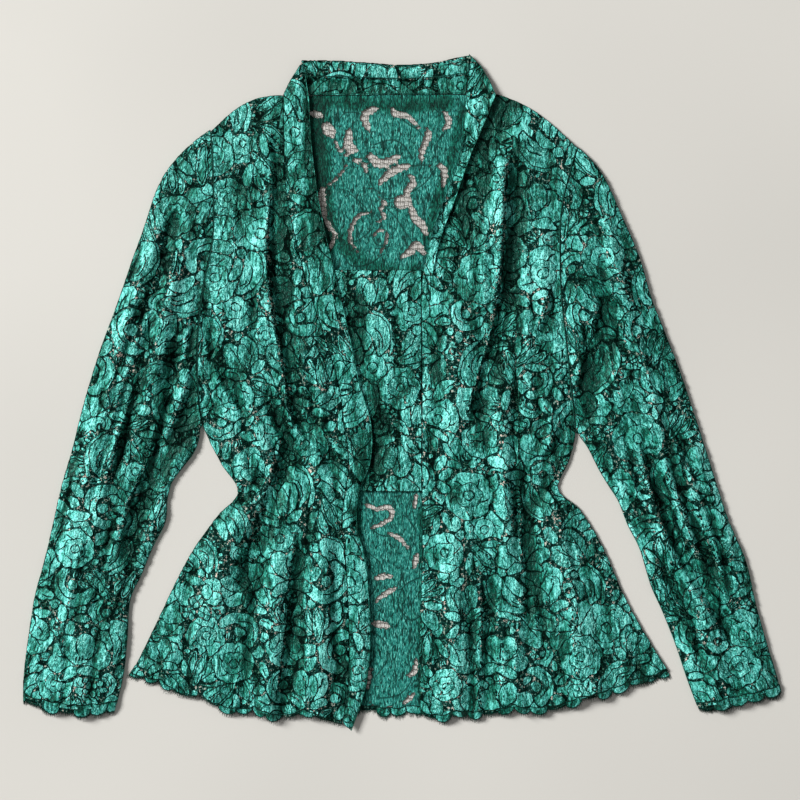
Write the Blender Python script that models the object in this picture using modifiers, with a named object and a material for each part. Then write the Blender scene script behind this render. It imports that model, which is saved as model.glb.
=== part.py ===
"""Lace kebaya blouse, laid flat face up on a table. Metres, +Z up, wearer's right at -X, neck at +Y.

The origin is on the table under the middle of the blouse. Tables and sizes below are in millimetres.
"""

from collections import namedtuple
from math import cos, hypot, pi, sin

import bmesh
import bpy
from mathutils import Vector

MM = 0.001

# Cloth
WALL = 1.2
LAY_GAP = 0.3
STRIP_WALL = 0.8

# Heights of the middle of each wall above the table
BACK_LEVEL = WALL / 2
PANEL_LEVEL = BACK_LEVEL + WALL + LAY_GAP
OVERLAP_LEVEL = PANEL_LEVEL + WALL + 0.9
SLEEVE_TOP_LEVEL = BACK_LEVEL + 3.2
SLEEVE_ROLL = 2.4

# How far the middle of a seamed piece's wall starts from its neighbour's, which leaves about 0.3 between them
SEAM_SHIFT = 0.45

# Sections of each loft
ARMHOLE_ROWS = 10
SIDE_ROWS = 14
FRONT_COLUMNS = 20
SLEEVE_RINGS = 23

# Lace edge
STRIP_WIDTH = 2.0
SCALLOP_DEPTH = 1.3
SCALLOP_WIDTH = 17.0
LASH_ROOT = 0.9
LASH_LENGTH = 3.6
LASH_LEVEL = 0.75

Front = namedtuple("Front", "name outer_x outer_y seam_x seam_y edge_x edge_y")
Sleeve = namedtuple("Sleeve", "name outer_x outer_y inner_x inner_y")
Band = namedtuple("Band", "name seam_x seam_y edge_x edge_y")
Panel = namedtuple("Panel", "name left_x right_x y")
Fold = namedtuple("Fold", "from_x from_y to_x to_y half_width height")
Lobe = namedtuple("Lobe", "start end start_drop end_drop depth")
Stand = namedtuple("Stand", "share level")

# Right front: outer is the armhole and side seam, seam joins the front band, edge is the band's free edge.
RIGHT_FRONT = (
    Front("shoulder", -191, 262, -119, 298, -93, 294),
    Front("yoke", -189, 234, -118, 254, -91, 254),
    Front("upper chest", -188, 194, -116, 204, -85, 204),
    Front("chest", -189, 154, -108, 162, -77, 162),
    Front("neck point", -198, 109, -96, 114, -66, 114),
    Front("bust", -204, 59, -80, 64, -54, 64),
    Front("under bust", -204, 9, -64, 12, -43, 12),
    Front("underarm", -199, -30, -58, -31, -31, -31),
    Front("midriff", -182, -67, -53, -68, -32, -68),
    Front("waist", -164, -98, -57, -98, -43, -98),
    Front("high hip", -186, -124, -60, -126, -45, -132),
    Front("hip", -214, -165, -56, -171, -36, -171),
    Front("low hip", -244, -226, -53, -236, -32, -237),
    Front("skirt", -263, -265, -54, -290, -36, -290),
    Front("hem", -272, -279, -60, -325, -52, -339.5),
)

# Left front: its seam edge is the neckline, then the centre panel's seam, then the free edge.
LEFT_FRONT = (
    Front("shoulder", 175, 245, 64, 297, 93, 298),
    Front("yoke", 170, 229, 62, 272, 82, 270),
    Front("upper chest", 161, 194, 58, 236, 68, 237),
    Front("chest", 158, 164, 42, 194, 52, 192),
    Front("neck point", 158, 126, 28, 154, 38, 154),
    Front("bust", 160, 90, 20, 109, 29, 109),
    Front("under bust", 164, 54, 20, 59, 29, 59),
    Front("ribs", 169, 9, 20, 9, 29, 9),
    Front("underarm", 173, -37, 20, -36, 29, -36),
    Front("midriff", 167, -66, 20, -68, 29, -68),
    Front("waist", 156, -95, 20, -98, 29, -98),
    Front("high hip", 177, -115, 20, -124, 29, -124),
    Front("hip", 200, -152, 20, -171, 29, -171),
    Front("low hip", 224, -206, 18, -231, 27, -231),
    Front("skirt", 249, -250, 17, -284, 26, -284),
    Front("hem", 266, -277, 19, -316, 28, -316),
)

# The front bands run on past the shoulder to the corners of the stand collar.
RIGHT_BAND_TOP = (
    Band("peak", -103, 326, -99, 332),
    Band("collar", -112, 312, -96, 314),
)
LEFT_BAND_TOP = (
    Band("peak", 67, 339.5, 78, 328),
    Band("collar", 66, 316, 87, 313),
)

RIGHT_SLEEVE = (
    Sleeve("head", -212, 249, -201, -34),
    Sleeve("cap", -233, 226, -202, -37),
    Sleeve("cap side", -246, 202, -202, -41),
    Sleeve("bicep top", -258, 166, -203, -46),
    Sleeve("bicep", -271, 130, -205, -53),
    Sleeve("upper arm", -284, 92, -209, -61),
    Sleeve("above elbow", -299, 52, -215, -69),
    Sleeve("elbow top", -312, 12, -222, -78),
    Sleeve("elbow", -322, -24, -230, -90),
    Sleeve("below elbow", -330, -56, -234, -106),
    Sleeve("forearm top", -341, -94, -236, -128),
    Sleeve("forearm", -349, -130, -248, -152),
    Sleeve("mid forearm", -358, -168, -260, -181),
    Sleeve("low forearm", -367, -201, -271, -206),
    Sleeve("wrist top", -373, -239, -274, -246),
    Sleeve("wrist", -378, -278, -278, -282),
    Sleeve("cuff", -379, -306, -286, -315),
)

LEFT_SLEEVE = (
    Sleeve("head", 192, 231, 176, -40),
    Sleeve("cap", 204, 213, 177, -42),
    Sleeve("cap side", 218, 182, 179, -45),
    Sleeve("bicep top", 237, 138, 182, -49),
    Sleeve("bicep", 249, 97, 186, -55),
    Sleeve("upper arm", 264, 59, 191, -65),
    Sleeve("above elbow", 279, 20, 197, -77),
    Sleeve("elbow top", 292, -19, 206, -92),
    Sleeve("elbow", 303, -53, 216, -108),
    Sleeve("below elbow", 315, -91, 225, -131),
    Sleeve("forearm top", 327, -127, 237, -155),
    Sleeve("forearm", 344, -167, 248, -191),
    Sleeve("mid forearm", 353, -206, 260, -218),
    Sleeve("low forearm", 361, -236, 273, -251),
    Sleeve("wrist", 371, -269, 284, -284),
    Sleeve("cuff", 379.5, -297, 296, -316),
)

# Centre panel that joins the fronts from bust to waist; its left side runs under the right front.
CENTRE_PANEL = (
    Panel("top", -92, 19.5, 124),
    Panel("bust", -78, 19.5, 64),
    Panel("under bust", -64, 19.5, 12),
    Panel("midriff", -57, 19.5, -31),
    Panel("waist", -54, 19.5, -97),
)

RIGHT_FRONT_FOLDS = (
    Fold(-127, 292, -109, 60, 10, -4.5),
    Fold(-143, 180, -132, 50, 13, 3.5),
    Fold(-170, 200, -178, 40, 18, 2.5),
    Fold(-140, 10, -96, -85, 10, -4.5),
    Fold(-158, 0, -122, -96, 13, 4.5),
    Fold(-98, 20, -66, -90, 9, -3.5),
    Fold(-84, -95, -80, 30, 10, 3.0),
    Fold(-127, -84, -152, -235, 10, -5.5),
    Fold(-150, -100, -204, -250, 16, 4.5),
    Fold(-98, -130, -122, -345, 9, -6.0),
    Fold(-120, -140, -137, -350, 14, 5.5),
    Fold(-78, -110, -84, -350, 17, 5.5),
    Fold(-170, -108, -242, -290, 12, 3.5),
    Fold(-176, -190, -190, -330, 13, 3.0),
)

LEFT_FRONT_FOLDS = (
    Fold(78, 262, 55, 180, 11, -4.0),
    Fold(99, 262, 98, 80, 12, 4.5),
    Fold(110, 195, 104, 40, 9, -5.5),
    Fold(138, 180, 147, 50, 14, 4.5),
    Fold(156, 70, 160, -20, 9, 3.0),
    Fold(50, 110, 54, -70, 16, 3.0),
    Fold(78, 90, 84, -60, 9, -3.0),
    Fold(98, 20, 106, -190, 13, 5.5),
    Fold(124, -60, 129, -240, 10, -6.0),
    Fold(150, -90, 196, -340, 19, 4.5),
    Fold(88, -180, 84, -340, 9, -4.5),
    Fold(50, -110, 53, -345, 19, 4.5),
    Fold(112, -220, 118, -350, 12, 4.0),
    Fold(196, -150, 236, -300, 12, 3.0),
)

RIGHT_SLEEVE_FOLDS = (
    Fold(-224, 190, -262, 56, 9, -4.5),
    Fold(-240, 192, -286, 26, 12, 4.0),
    Fold(-213, 170, -254, -10, 13, 4.5),
    Fold(-222, 60, -250, -86, 10, -5.5),
    Fold(-246, -66, -276, -176, 9, -5.0),
    Fold(-280, -36, -314, -160, 14, 5.0),
    Fold(-218, -44, -250, -170, 8, 3.5),
    Fold(-268, -20, -300, -120, 8, -3.5),
    Fold(-298, 0, -338, -190, 12, 3.5),
    Fold(-316, -215, -330, -330, 22, 2.5),
)

LEFT_SLEEVE_FOLDS = (
    Fold(186, 76, 182, -26, 8, -4.5),
    Fold(200, 196, 228, 50, 14, 4.5),
    Fold(188, 116, 230, 30, 8, -4.0),
    Fold(238, 10, 292, -160, 14, 5.0),
    Fold(256, -40, 320, -206, 8, -5.0),
    Fold(284, -30, 338, -180, 12, 4.5),
    Fold(216, -56, 264, -180, 10, 3.5),
    Fold(316, -196, 336, -320, 8, -3.5),
    Fold(298, -200, 314, -330, 12, 4.0),
)

# Round lobes of each front's hem: where each starts and ends across the front, and how far it drops
# at both ends and between them, below a line from corner to corner.
RIGHT_HEM = (
    Lobe(0.00, 0.15, 0, 0, 2),
    Lobe(0.15, 0.33, 0, 7, 7),
    Lobe(0.33, 0.59, 7, 8, 8),
    Lobe(0.59, 0.82, 8, 0, 8),
    Lobe(0.82, 1.00, 0, 5, 2),
)
LEFT_HEM = (
    Lobe(0.00, 0.12, 0, 4, 3),
    Lobe(0.12, 0.36, 4, 15, 3),
    Lobe(0.36, 0.62, 15, 12, 7),
    Lobe(0.62, 0.86, 12, 8, 5),
    Lobe(0.86, 1.00, 8, 3, 6),
)
BACK_BELLY = 38.0
BACK_LOBE_START = 0.047
BACK_LOBE_WIDTH = 0.08
BACK_LOBE_DEPTH = 3.5
RIGHT_CUFF_BELLY = 8.0
LEFT_CUFF_BELLY = 2.0

# Back neck: how far the top edge rises above a line between the two shoulder points
NECK_RIGHT = 0.197
NECK_LEFT = 0.773
NECK_RISE_RIGHT = 39.0
NECK_RISE_LEFT = 50.5
NECK_FADE_ROWS = 6
LEFT_NECK_PLACE = 0.72
LEFT_NECK_RISE = 17.0
RIGHT_SHOULDER_BOW = 11.0
LEFT_SHOULDER_BOW = 8.5

# Stand collar behind the neck, folded over on itself along its top
STAND_SEAM_FROM_X = -92.4
STAND_SEAM_TO_X = 63.4
STAND_TOP_FROM_X = -98.4
STAND_TOP_TO_X = 66.4
STAND_COLUMNS = 15
STAND_TOP_RISES = (34.5, 34.2, 31.8, 29.4, 32.0, 38.6)
STAND_SECTIONS = (
    Stand(0.0, 1.5),
    Stand(0.2, 1.2),
    Stand(0.43, 1.6),
    Stand(0.52, 4.2),
    Stand(0.75, 5.2),
    Stand(0.93, 3.6),
    Stand(1.0, 1.2),
)

LACE_GREEN = (0.030, 0.290, 0.205, 1.0)
LACE_SHADE = (0.016, 0.150, 0.110, 1.0)
LASH_GREEN = (0.020, 0.100, 0.075, 1.0)


def smooth(value):
    """0 below 0, 1 above 1, with a soft step between them."""
    value = min(max(value, 0.0), 1.0)
    return value * value * (3.0 - 2.0 * value)


def hump(value):
    """A round hump over 0 to 1, and 0 outside."""
    return sin(pi * value) ** 0.7 if 0.0 < value < 1.0 else 0.0


def spline(values, where):
    """The curve through values, read at where, counted in steps from the first."""
    last = len(values) - 1
    step = min(int(where), last - 1)
    part = where - step
    before = values[max(step - 1, 0)]
    start = values[step]
    end = values[step + 1]
    after = values[min(step + 2, last)]
    start_slope = (end - before) / 2.0
    end_slope = (after - start) / 2.0
    rest = 1.0 - part
    return (
        start * (1.0 + 2.0 * part) * rest * rest
        + start_slope * part * rest * rest
        + end * (3.0 - 2.0 * part) * part * part
        - end_slope * rest * part * part
    )


def column(table, name):
    """One named column of a table."""
    return [getattr(row, name) for row in table]


def front_steps(table):
    """Places in a front's table for its rows: ARMHOLE_ROWS down to the underarm, then SIDE_ROWS to the hem."""
    underarm = column(table, "name").index("underarm")
    last = len(table) - 1
    steps = [underarm * row / ARMHOLE_ROWS for row in range(ARMHOLE_ROWS)]
    return steps + [underarm + (last - underarm) * row / SIDE_ROWS for row in range(SIDE_ROWS + 1)]


def read_line(table, steps, line):
    """The points of one line of a table, such as outer, at these steps."""
    xs = column(table, line + "_x")
    ys = column(table, line + "_y")
    return [Vector((spline(xs, step), spline(ys, step), 0.0)) for step in steps]


def fold_height(folds, x, y):
    """How far the folds lift or lower the cloth at this place."""
    height = 0.0
    for fold in folds:
        run_x = fold.to_x - fold.from_x
        run_y = fold.to_y - fold.from_y
        length = hypot(run_x, run_y)
        along = ((x - fold.from_x) * run_x + (y - fold.from_y) * run_y) / length**2
        across = ((x - fold.from_x) * run_y - (y - fold.from_y) * run_x) / length
        if 0.0 < along < 1.0 and abs(across) < fold.half_width:
            ends = smooth(along / 0.2) * smooth((1.0 - along) / 0.2)
            height += fold.height * ends * cos(pi * across / (2.0 * fold.half_width)) ** 2
    return height


def hem_drop(lobes, across):
    """How far a front's hem hangs below a line between its two corners."""
    for lobe in lobes:
        if lobe.start <= across <= lobe.end:
            share = (across - lobe.start) / (lobe.end - lobe.start)
            return lobe.start_drop + (lobe.end_drop - lobe.start_drop) * share + lobe.depth * hump(share)
    return 0.0


def back_drop(across):
    """How far the back's hem hangs below a line between its two corners."""
    lobe = (across - BACK_LOBE_START) / BACK_LOBE_WIDTH % 1.0
    return BACK_BELLY * sin(pi * across) + BACK_LOBE_DEPTH * hump(lobe) * smooth(across / 0.1)


def bow(share):
    """A shallow curve over 0 to 1, and 0 outside."""
    return sin(pi * share) if 0.0 < share < 1.0 else 0.0


def hem_share(row):
    """How much of the hem's drop a row takes: none above the hip, all at the hem."""
    hip_row = ARMHOLE_ROWS + SIDE_ROWS / 3.0
    return max(0.0, (row - hip_row) / (ARMHOLE_ROWS + SIDE_ROWS - hip_row)) ** 2


def armhole_lift(row):
    """Height of the seam where a sleeve joins, above the side seam's level."""
    return (SLEEVE_TOP_LEVEL - PANEL_LEVEL) * smooth((ARMHOLE_ROWS - row) / 2.0) + 2.0 * hump(row / ARMHOLE_ROWS)


def right_shoulder(across):
    """Rise of the right front's top edge above a line between its ends."""
    return RIGHT_SHOULDER_BOW * bow(across)


def left_shoulder(across):
    """Rise of the left front's top edge, which turns at the neck point."""
    rise = LEFT_NECK_RISE * min(across / LEFT_NECK_PLACE, (1.0 - across) / (1.0 - LEFT_NECK_PLACE))
    return rise + LEFT_SHOULDER_BOW * bow(across / LEFT_NECK_PLACE)


def front_grid(table, folds, hem, lap_level, shoulder):
    """Points of a front, row by row from shoulder to hem, each from its outer edge to its seam edge."""
    steps = front_steps(table)
    outer = read_line(table, steps, "outer")
    seam = read_line(table, steps, "seam")
    grid = []
    for row, (start, end) in enumerate(zip(outer, seam)):
        points = []
        for step in range(FRONT_COLUMNS + 1):
            across = step / FRONT_COLUMNS
            point = start.lerp(end, across)
            point.y += shoulder(across) * max(0.0, 1.0 - row / 4.0) ** 2
            point.y -= hem_drop(hem, across) * hem_share(row)
            inside = smooth(across / 0.16)
            lap = (lap_level - PANEL_LEVEL) * smooth((across - 0.62) / 0.24)
            puff = 3.2 * hump(0.06 + 0.88 * across) * inside * smooth(row / 2.0)
            level = PANEL_LEVEL + armhole_lift(row) * (1.0 - inside)
            lifted = level + puff + lap + fold_height(folds, point.x, point.y) * inside * smooth(row / 2.0)
            point.z = max(lifted, PANEL_LEVEL + lap, level * (1.0 - inside))
            points.append(point)
        grid.append(points)
    return grid


def back_grid(right_front, left_front):
    """Points of the back, which shares its side and shoulder seams with both fronts and lies flat."""
    shoulder = 4
    middle = 15
    fractions = [NECK_RIGHT * step / shoulder for step in range(shoulder)]
    fractions += [NECK_RIGHT + (NECK_LEFT - NECK_RIGHT) * step / middle for step in range(middle)]
    fractions += [NECK_LEFT + (1.0 - NECK_LEFT) * step / shoulder for step in range(shoulder + 1)]
    grid = []
    for row, (right, left) in enumerate(zip(right_front, left_front)):
        fade = max(0.0, 1.0 - row / NECK_FADE_ROWS) ** 2
        points = []
        for across in fractions:
            point = Vector((right[0].x, right[0].y, 0.0)).lerp(Vector((left[0].x, left[0].y, 0.0)), across)
            along = (across - NECK_RIGHT) / (NECK_LEFT - NECK_RIGHT)
            neck = NECK_RISE_RIGHT + (NECK_RISE_LEFT - NECK_RISE_RIGHT) * min(max(along, 0.0), 1.0)
            slope = min(1.0, across / NECK_RIGHT, (1.0 - across) / (1.0 - NECK_LEFT))
            point.y += neck * slope * fade
            point.y += RIGHT_SHOULDER_BOW * bow(across / NECK_RIGHT) * fade
            point.y += LEFT_SHOULDER_BOW * bow((1.0 - across) / (1.0 - NECK_LEFT)) * fade
            point.y -= back_drop(across) * hem_share(row)
            point.z = BACK_LEVEL
            points.append(point)
        grid.append(points)
    return grid


def centre_grid():
    """Points of the centre panel, which lies on the back between the fronts."""
    rows = 12
    columns = 9
    last = len(CENTRE_PANEL) - 1
    grid = []
    for row in range(rows + 1):
        step = last * row / rows
        left = spline(column(CENTRE_PANEL, "left_x"), step)
        right = spline(column(CENTRE_PANEL, "right_x"), step)
        y = spline(column(CENTRE_PANEL, "y"), step)
        points = []
        for place in range(columns + 1):
            across = place / columns
            ripple = 0.3 * (1.0 - cos(6.0 * pi * across)) * hump(row / rows)
            points.append(Vector((left + (right - left) * across, y, PANEL_LEVEL + ripple)))
        grid.append(points)
    return grid


def right_band_grid(front):
    """Points of the right front band, from its seam beside the front to its free edge."""
    steps = front_steps(RIGHT_FRONT)
    edge = read_line(RIGHT_FRONT, steps, "edge")
    columns = 3
    grid = []
    for band in RIGHT_BAND_TOP:
        seam = Vector((band.seam_x, band.seam_y, OVERLAP_LEVEL))
        free = Vector((band.edge_x, band.edge_y, OVERLAP_LEVEL))
        grid.append([seam.lerp(free, step / columns) for step in range(columns + 1)])
    for row, free in enumerate(edge):
        seam = front[row][-1].copy()
        seam.x += SEAM_SHIFT
        free.z = OVERLAP_LEVEL
        grid.append([seam.lerp(free, step / columns) for step in range(columns + 1)])
    for points in grid:
        for step, point in enumerate(points):
            point.z += 1.6 * sin(pi * step / columns)
    return grid


def left_band_grid(front):
    """Points of the left front band, turned back over the front from the neckline's roll edge."""
    last_row = ARMHOLE_ROWS * 5 // 8
    steps = front_steps(LEFT_FRONT)
    edge = read_line(LEFT_FRONT, steps, "edge")
    columns = 3
    lift = WALL + LAY_GAP + 0.4
    grid = []
    for band in LEFT_BAND_TOP:
        roll = Vector((band.seam_x, band.seam_y, PANEL_LEVEL + lift))
        free = Vector((band.edge_x, band.edge_y, PANEL_LEVEL + lift))
        grid.append([roll.lerp(free, step / columns) for step in range(columns + 1)])
    for row in range(last_row + 1):
        roll = front[row][-1].copy()
        free = edge[row]
        points = []
        for step in range(columns + 1):
            share = step / columns
            point = roll.lerp(free, share)
            under = read_row(front[row], point.x)
            point.z = under.z + lift + 3.0 * share * smooth(1.0 - row / last_row)
            points.append(point)
        grid.append(points)
    return grid


def read_row(points, x):
    """The point of a row at this x, or the nearer end of the row."""
    for start, end in zip(points, points[1:]):
        low, high = sorted((start.x, end.x))
        if low <= x <= high:
            return start.lerp(end, (x - start.x) / (end.x - start.x))
    return min(points[0], points[-1], key=lambda end: abs(end.x - x)).copy()


def stand_grid(back):
    """Points of the stand collar from the back neck seam up and over its folded top."""
    grid = []
    for stand in STAND_SECTIONS:
        points = []
        for step in range(STAND_COLUMNS + 1):
            across = step / STAND_COLUMNS
            seam_x = STAND_SEAM_FROM_X + (STAND_SEAM_TO_X - STAND_SEAM_FROM_X) * across
            top_x = STAND_TOP_FROM_X + (STAND_TOP_TO_X - STAND_TOP_FROM_X) * across
            seam_y = read_row(back[0], seam_x).y + SEAM_SHIFT
            rise = spline(STAND_TOP_RISES, across * (len(STAND_TOP_RISES) - 1)) * stand.share
            points.append(Vector((seam_x + (top_x - seam_x) * stand.share, seam_y + rise, stand.level)))
        grid.append(points)
    return grid


def sleeve_grid(table, folds, armhole, belly, side):
    """Rings of a flattened sleeve, from the armhole seam to the cuff. side is -1 at the wearer's right."""
    seam = [Vector((point.x + side * SEAM_SHIFT, point.y, 0.0)) for point in armhole]
    head = seam[0]
    foot = seam[-1]
    chord = foot - head
    shares = [(point - head).dot(chord) / chord.length_squared for point in seam]
    bows = [point - head.lerp(foot, share) for point, share in zip(seam, shares)]
    names = [row.name for row in table]
    fade_ring = names.index("elbow top")
    grid = []
    for ring in range(SLEEVE_RINGS + 1):
        step = ring * len(table) / SLEEVE_RINGS
        outer_line = [head.x] + column(table, "outer_x"), [head.y] + column(table, "outer_y")
        inner_line = [foot.x] + column(table, "inner_x"), [foot.y] + column(table, "inner_y")
        outer = Vector((spline(outer_line[0], step), spline(outer_line[1], step), 0.0))
        inner = Vector((spline(inner_line[0], step), spline(inner_line[1], step), 0.0))
        across = (inner - outer).normalized()
        inset = SLEEVE_ROLL * smooth(step)
        outer += across * inset
        inner -= across * inset
        curve = smooth(1.0 - step / fade_ring)
        end = max(0.0, (step - len(table) + 3.0) / 3.0) ** 2
        under = []
        upper = []
        for share, offset in zip(shares, bows):
            plan = outer.lerp(inner, share) + offset * curve
            plan.y -= belly * hump(share) * end
            under.append(Vector((plan.x, plan.y, BACK_LEVEL)))
            fade = smooth(share / 0.15) * smooth((1.0 - share) / 0.15)
            start = smooth(step / 1.5)
            puff = (2.0 + 1.2 * start) * hump(share)
            lifted = SLEEVE_TOP_LEVEL + puff + fold_height(folds, plan.x, plan.y) * fade * start
            upper.append(Vector((plan.x, plan.y, max(lifted, BACK_LEVEL + WALL + 0.8))))
        turn_level = (BACK_LEVEL + SLEEVE_TOP_LEVEL) / 2.0
        roll = across * (SLEEVE_ROLL - WALL / 2.0)
        inner_turn = Vector((under[-1].x, under[-1].y, turn_level)) + roll
        outer_turn = Vector((under[0].x, under[0].y, turn_level)) - roll
        grid.append(under + [inner_turn] + upper[::-1] + [outer_turn])
    return grid


def new_material(name, colour, roughness):
    """A Principled material of one colour."""
    material = bpy.data.materials.new(name)
    material.use_nodes = True
    shader = material.node_tree.nodes["Principled BSDF"]
    shader.inputs["Base Color"].default_value = colour
    shader.inputs["Roughness"].default_value = roughness
    shader.inputs["Metallic"].default_value = 0.0
    return material


def add_piece(collection, name, mesh, wall, material):
    """An object in the collection whose open surface Solidify turns into a wall."""
    piece = bpy.data.objects.new(name, mesh)
    collection.objects.link(piece)
    mesh.materials.append(material)
    mesh.shade_smooth()
    solidify = piece.modifiers.new("Cloth wall", "SOLIDIFY")
    solidify.thickness = wall * MM
    solidify.offset = 0.0
    return piece


def loft(collection, name, grid, material, closed=False, flip=False):
    """A cloth wall through the rows of a grid. Closed joins each row's end to its start."""
    shape = bmesh.new()
    rows = [[shape.verts.new(point * MM) for point in points] for points in grid]
    width = len(grid[0])
    for upper, lower in zip(rows, rows[1:]):
        for place in range(width if closed else width - 1):
            following = (place + 1) % width
            corners = [upper[place], upper[following], lower[following], lower[place]]
            shape.faces.new(corners[::-1] if flip else corners)
    mesh = bpy.data.meshes.new(name)
    shape.to_mesh(mesh)
    shape.free()
    return add_piece(collection, name, mesh, WALL, material)


def divide(points, parts, closed):
    """The same line of points with each of its stretches cut into equal parts."""
    ends = points[1:] + points[:1] if closed else points[1:]
    fine = [start.lerp(end, part / parts) for start, end in zip(points, ends) for part in range(parts)]
    return fine if closed else fine + [points[-1].copy()]


def lash_strip(collection, name, edge, away, parts, material, closed=False):
    """A narrow scalloped strip along a lace edge, with a lash standing from each of its stretches."""
    line = divide(edge, parts, closed)
    for point in line:
        point.z = max(point.z, LASH_LEVEL)
    count = len(line)
    length = 0.0
    shape = bmesh.new()
    inner = []
    roots = []
    ends = []
    tips = []
    for place, point in enumerate(line):
        before = line[(place - 1) % count] if closed or place else point
        after = line[(place + 1) % count] if closed or place < count - 1 else point
        run = after - before
        run.normalize()
        out = away - run * away.dot(run)
        out.z = 0.0
        out.normalize()
        length += (point - before).length
        scallop = SCALLOP_DEPTH * abs(sin(pi * length / SCALLOP_WIDTH))
        rim = point + out * (SEAM_SHIFT + STRIP_WIDTH + scallop)
        lean = run * (0.8 if place % 3 else -0.8)
        inner.append(shape.verts.new((point + out * SEAM_SHIFT) * MM))
        roots.append(shape.verts.new(rim * MM))
        ends.append(shape.verts.new((rim + run * LASH_ROOT) * MM))
        tips.append(shape.verts.new((rim + run * LASH_ROOT / 2.0 + out * LASH_LENGTH + lean) * MM))
    last = count if closed else count - 1
    for place in range(last):
        following = (place + 1) % count
        stretch = [inner[place], roots[place], ends[place], roots[following], inner[following]]
        shape.faces.new(stretch)
        shape.faces.new([roots[place], tips[place], ends[place]])
    if not closed:
        for vertex in (ends[-1], tips[-1]):
            shape.verts.remove(vertex)
    bmesh.ops.triangulate(shape, faces=shape.faces[:])
    mesh = bpy.data.meshes.new(name)
    shape.to_mesh(mesh)
    shape.free()
    return add_piece(collection, name, mesh, STRIP_WALL, material)


def build_body(collection, back, right, left, lace, shade):
    """Back, fronts, centre panel, stand collar and front bands."""
    loft(collection, "back_panel", back, shade, flip=True)
    loft(collection, "front_right", right, lace, flip=True)
    loft(collection, "front_left", left, lace)
    loft(collection, "centre_panel", centre_grid(), lace, flip=True)
    loft(collection, "neck_band", stand_grid(back), lace)
    loft(collection, "front_band_right", right_band_grid(right), lace, flip=True)
    loft(collection, "front_band_left", left_band_grid(left), lace, flip=True)


def build_sleeves(collection, right, left, lace):
    """Both set-in sleeves, flattened open tubes. Returns the points of each cuff."""
    right_armhole = [points[0] for points in right[: ARMHOLE_ROWS + 1]]
    left_armhole = [points[0] for points in left[: ARMHOLE_ROWS + 1]]
    right_rings = sleeve_grid(RIGHT_SLEEVE, RIGHT_SLEEVE_FOLDS, right_armhole, RIGHT_CUFF_BELLY, -1.0)
    left_rings = sleeve_grid(LEFT_SLEEVE, LEFT_SLEEVE_FOLDS, left_armhole, LEFT_CUFF_BELLY, 1.0)
    loft(collection, "sleeve_right", right_rings, lace, closed=True)
    loft(collection, "sleeve_left", left_rings, lace, closed=True, flip=True)
    return right_rings[-1], left_rings[-1]


def build_lashes(collection, back, right, left, cuffs, lash):
    """The lace's own scalloped eyelash edge along the hems and round the cuffs."""
    down = Vector((0.0, -1.0, 0.0))
    lash_strip(collection, "hem_lashes_back", back[-1], down, 3, lash)
    lash_strip(collection, "hem_lashes_right", right[-1], down, 2, lash)
    lash_strip(collection, "hem_lashes_left", left[-1], down, 2, lash)
    lash_strip(collection, "cuff_lashes_right", cuffs[0], down, 1, lash, closed=True)
    lash_strip(collection, "cuff_lashes_left", cuffs[1], down, 1, lash, closed=True)


def main():
    for thing in list(bpy.data.objects):
        bpy.data.objects.remove(thing, do_unlink=True)
    collection = bpy.data.collections.new("Kebaya blouse")
    bpy.context.scene.collection.children.link(collection)
    lace = new_material("lace_face", LACE_GREEN, 0.55)
    shade = new_material("lace_inside", LACE_SHADE, 0.7)
    lash = new_material("lash_thread", LASH_GREEN, 0.8)
    right = front_grid(RIGHT_FRONT, RIGHT_FRONT_FOLDS, RIGHT_HEM, OVERLAP_LEVEL, right_shoulder)
    left = front_grid(LEFT_FRONT, LEFT_FRONT_FOLDS, LEFT_HEM, PANEL_LEVEL, left_shoulder)
    back = back_grid(right, left)
    build_body(collection, back, right, left, lace, shade)
    cuffs = build_sleeves(collection, right, left, lace)
    build_lashes(collection, back, right, left, cuffs, lash)


main()
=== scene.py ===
from collections import namedtuple
from math import cos, pi, radians, sin

import bpy
import numpy as np
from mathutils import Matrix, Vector
from mathutils.bvhtree import BVHTree
from mathutils.geometry import delaunay_2d_cdt


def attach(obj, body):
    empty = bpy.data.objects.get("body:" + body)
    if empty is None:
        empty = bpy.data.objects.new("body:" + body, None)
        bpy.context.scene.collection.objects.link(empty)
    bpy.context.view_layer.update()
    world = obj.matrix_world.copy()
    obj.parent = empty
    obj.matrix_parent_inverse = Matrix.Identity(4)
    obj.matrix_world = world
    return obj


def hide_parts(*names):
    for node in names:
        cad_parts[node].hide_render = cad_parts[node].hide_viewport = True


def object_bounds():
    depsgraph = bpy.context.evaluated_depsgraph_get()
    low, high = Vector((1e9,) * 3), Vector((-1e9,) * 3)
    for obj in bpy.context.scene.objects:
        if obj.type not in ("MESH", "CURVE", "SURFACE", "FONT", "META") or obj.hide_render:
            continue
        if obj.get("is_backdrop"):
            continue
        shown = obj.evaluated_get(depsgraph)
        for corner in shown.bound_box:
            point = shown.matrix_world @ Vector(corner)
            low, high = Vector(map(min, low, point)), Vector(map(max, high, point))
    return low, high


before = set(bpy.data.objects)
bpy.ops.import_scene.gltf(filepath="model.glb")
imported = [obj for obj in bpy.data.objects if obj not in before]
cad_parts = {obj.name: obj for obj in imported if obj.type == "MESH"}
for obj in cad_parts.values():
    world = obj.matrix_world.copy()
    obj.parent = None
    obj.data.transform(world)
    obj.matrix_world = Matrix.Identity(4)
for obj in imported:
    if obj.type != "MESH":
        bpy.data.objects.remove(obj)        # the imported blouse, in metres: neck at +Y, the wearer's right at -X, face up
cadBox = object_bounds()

mm = 0.001        # the tables and sizes below are in millimetres

# The camera hangs straight above the table; the frame takes in 0.8 m of it.
view = dict(place=(-0.002, -0.006, 2.2), lens=99.0, sensor=36.0)

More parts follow.
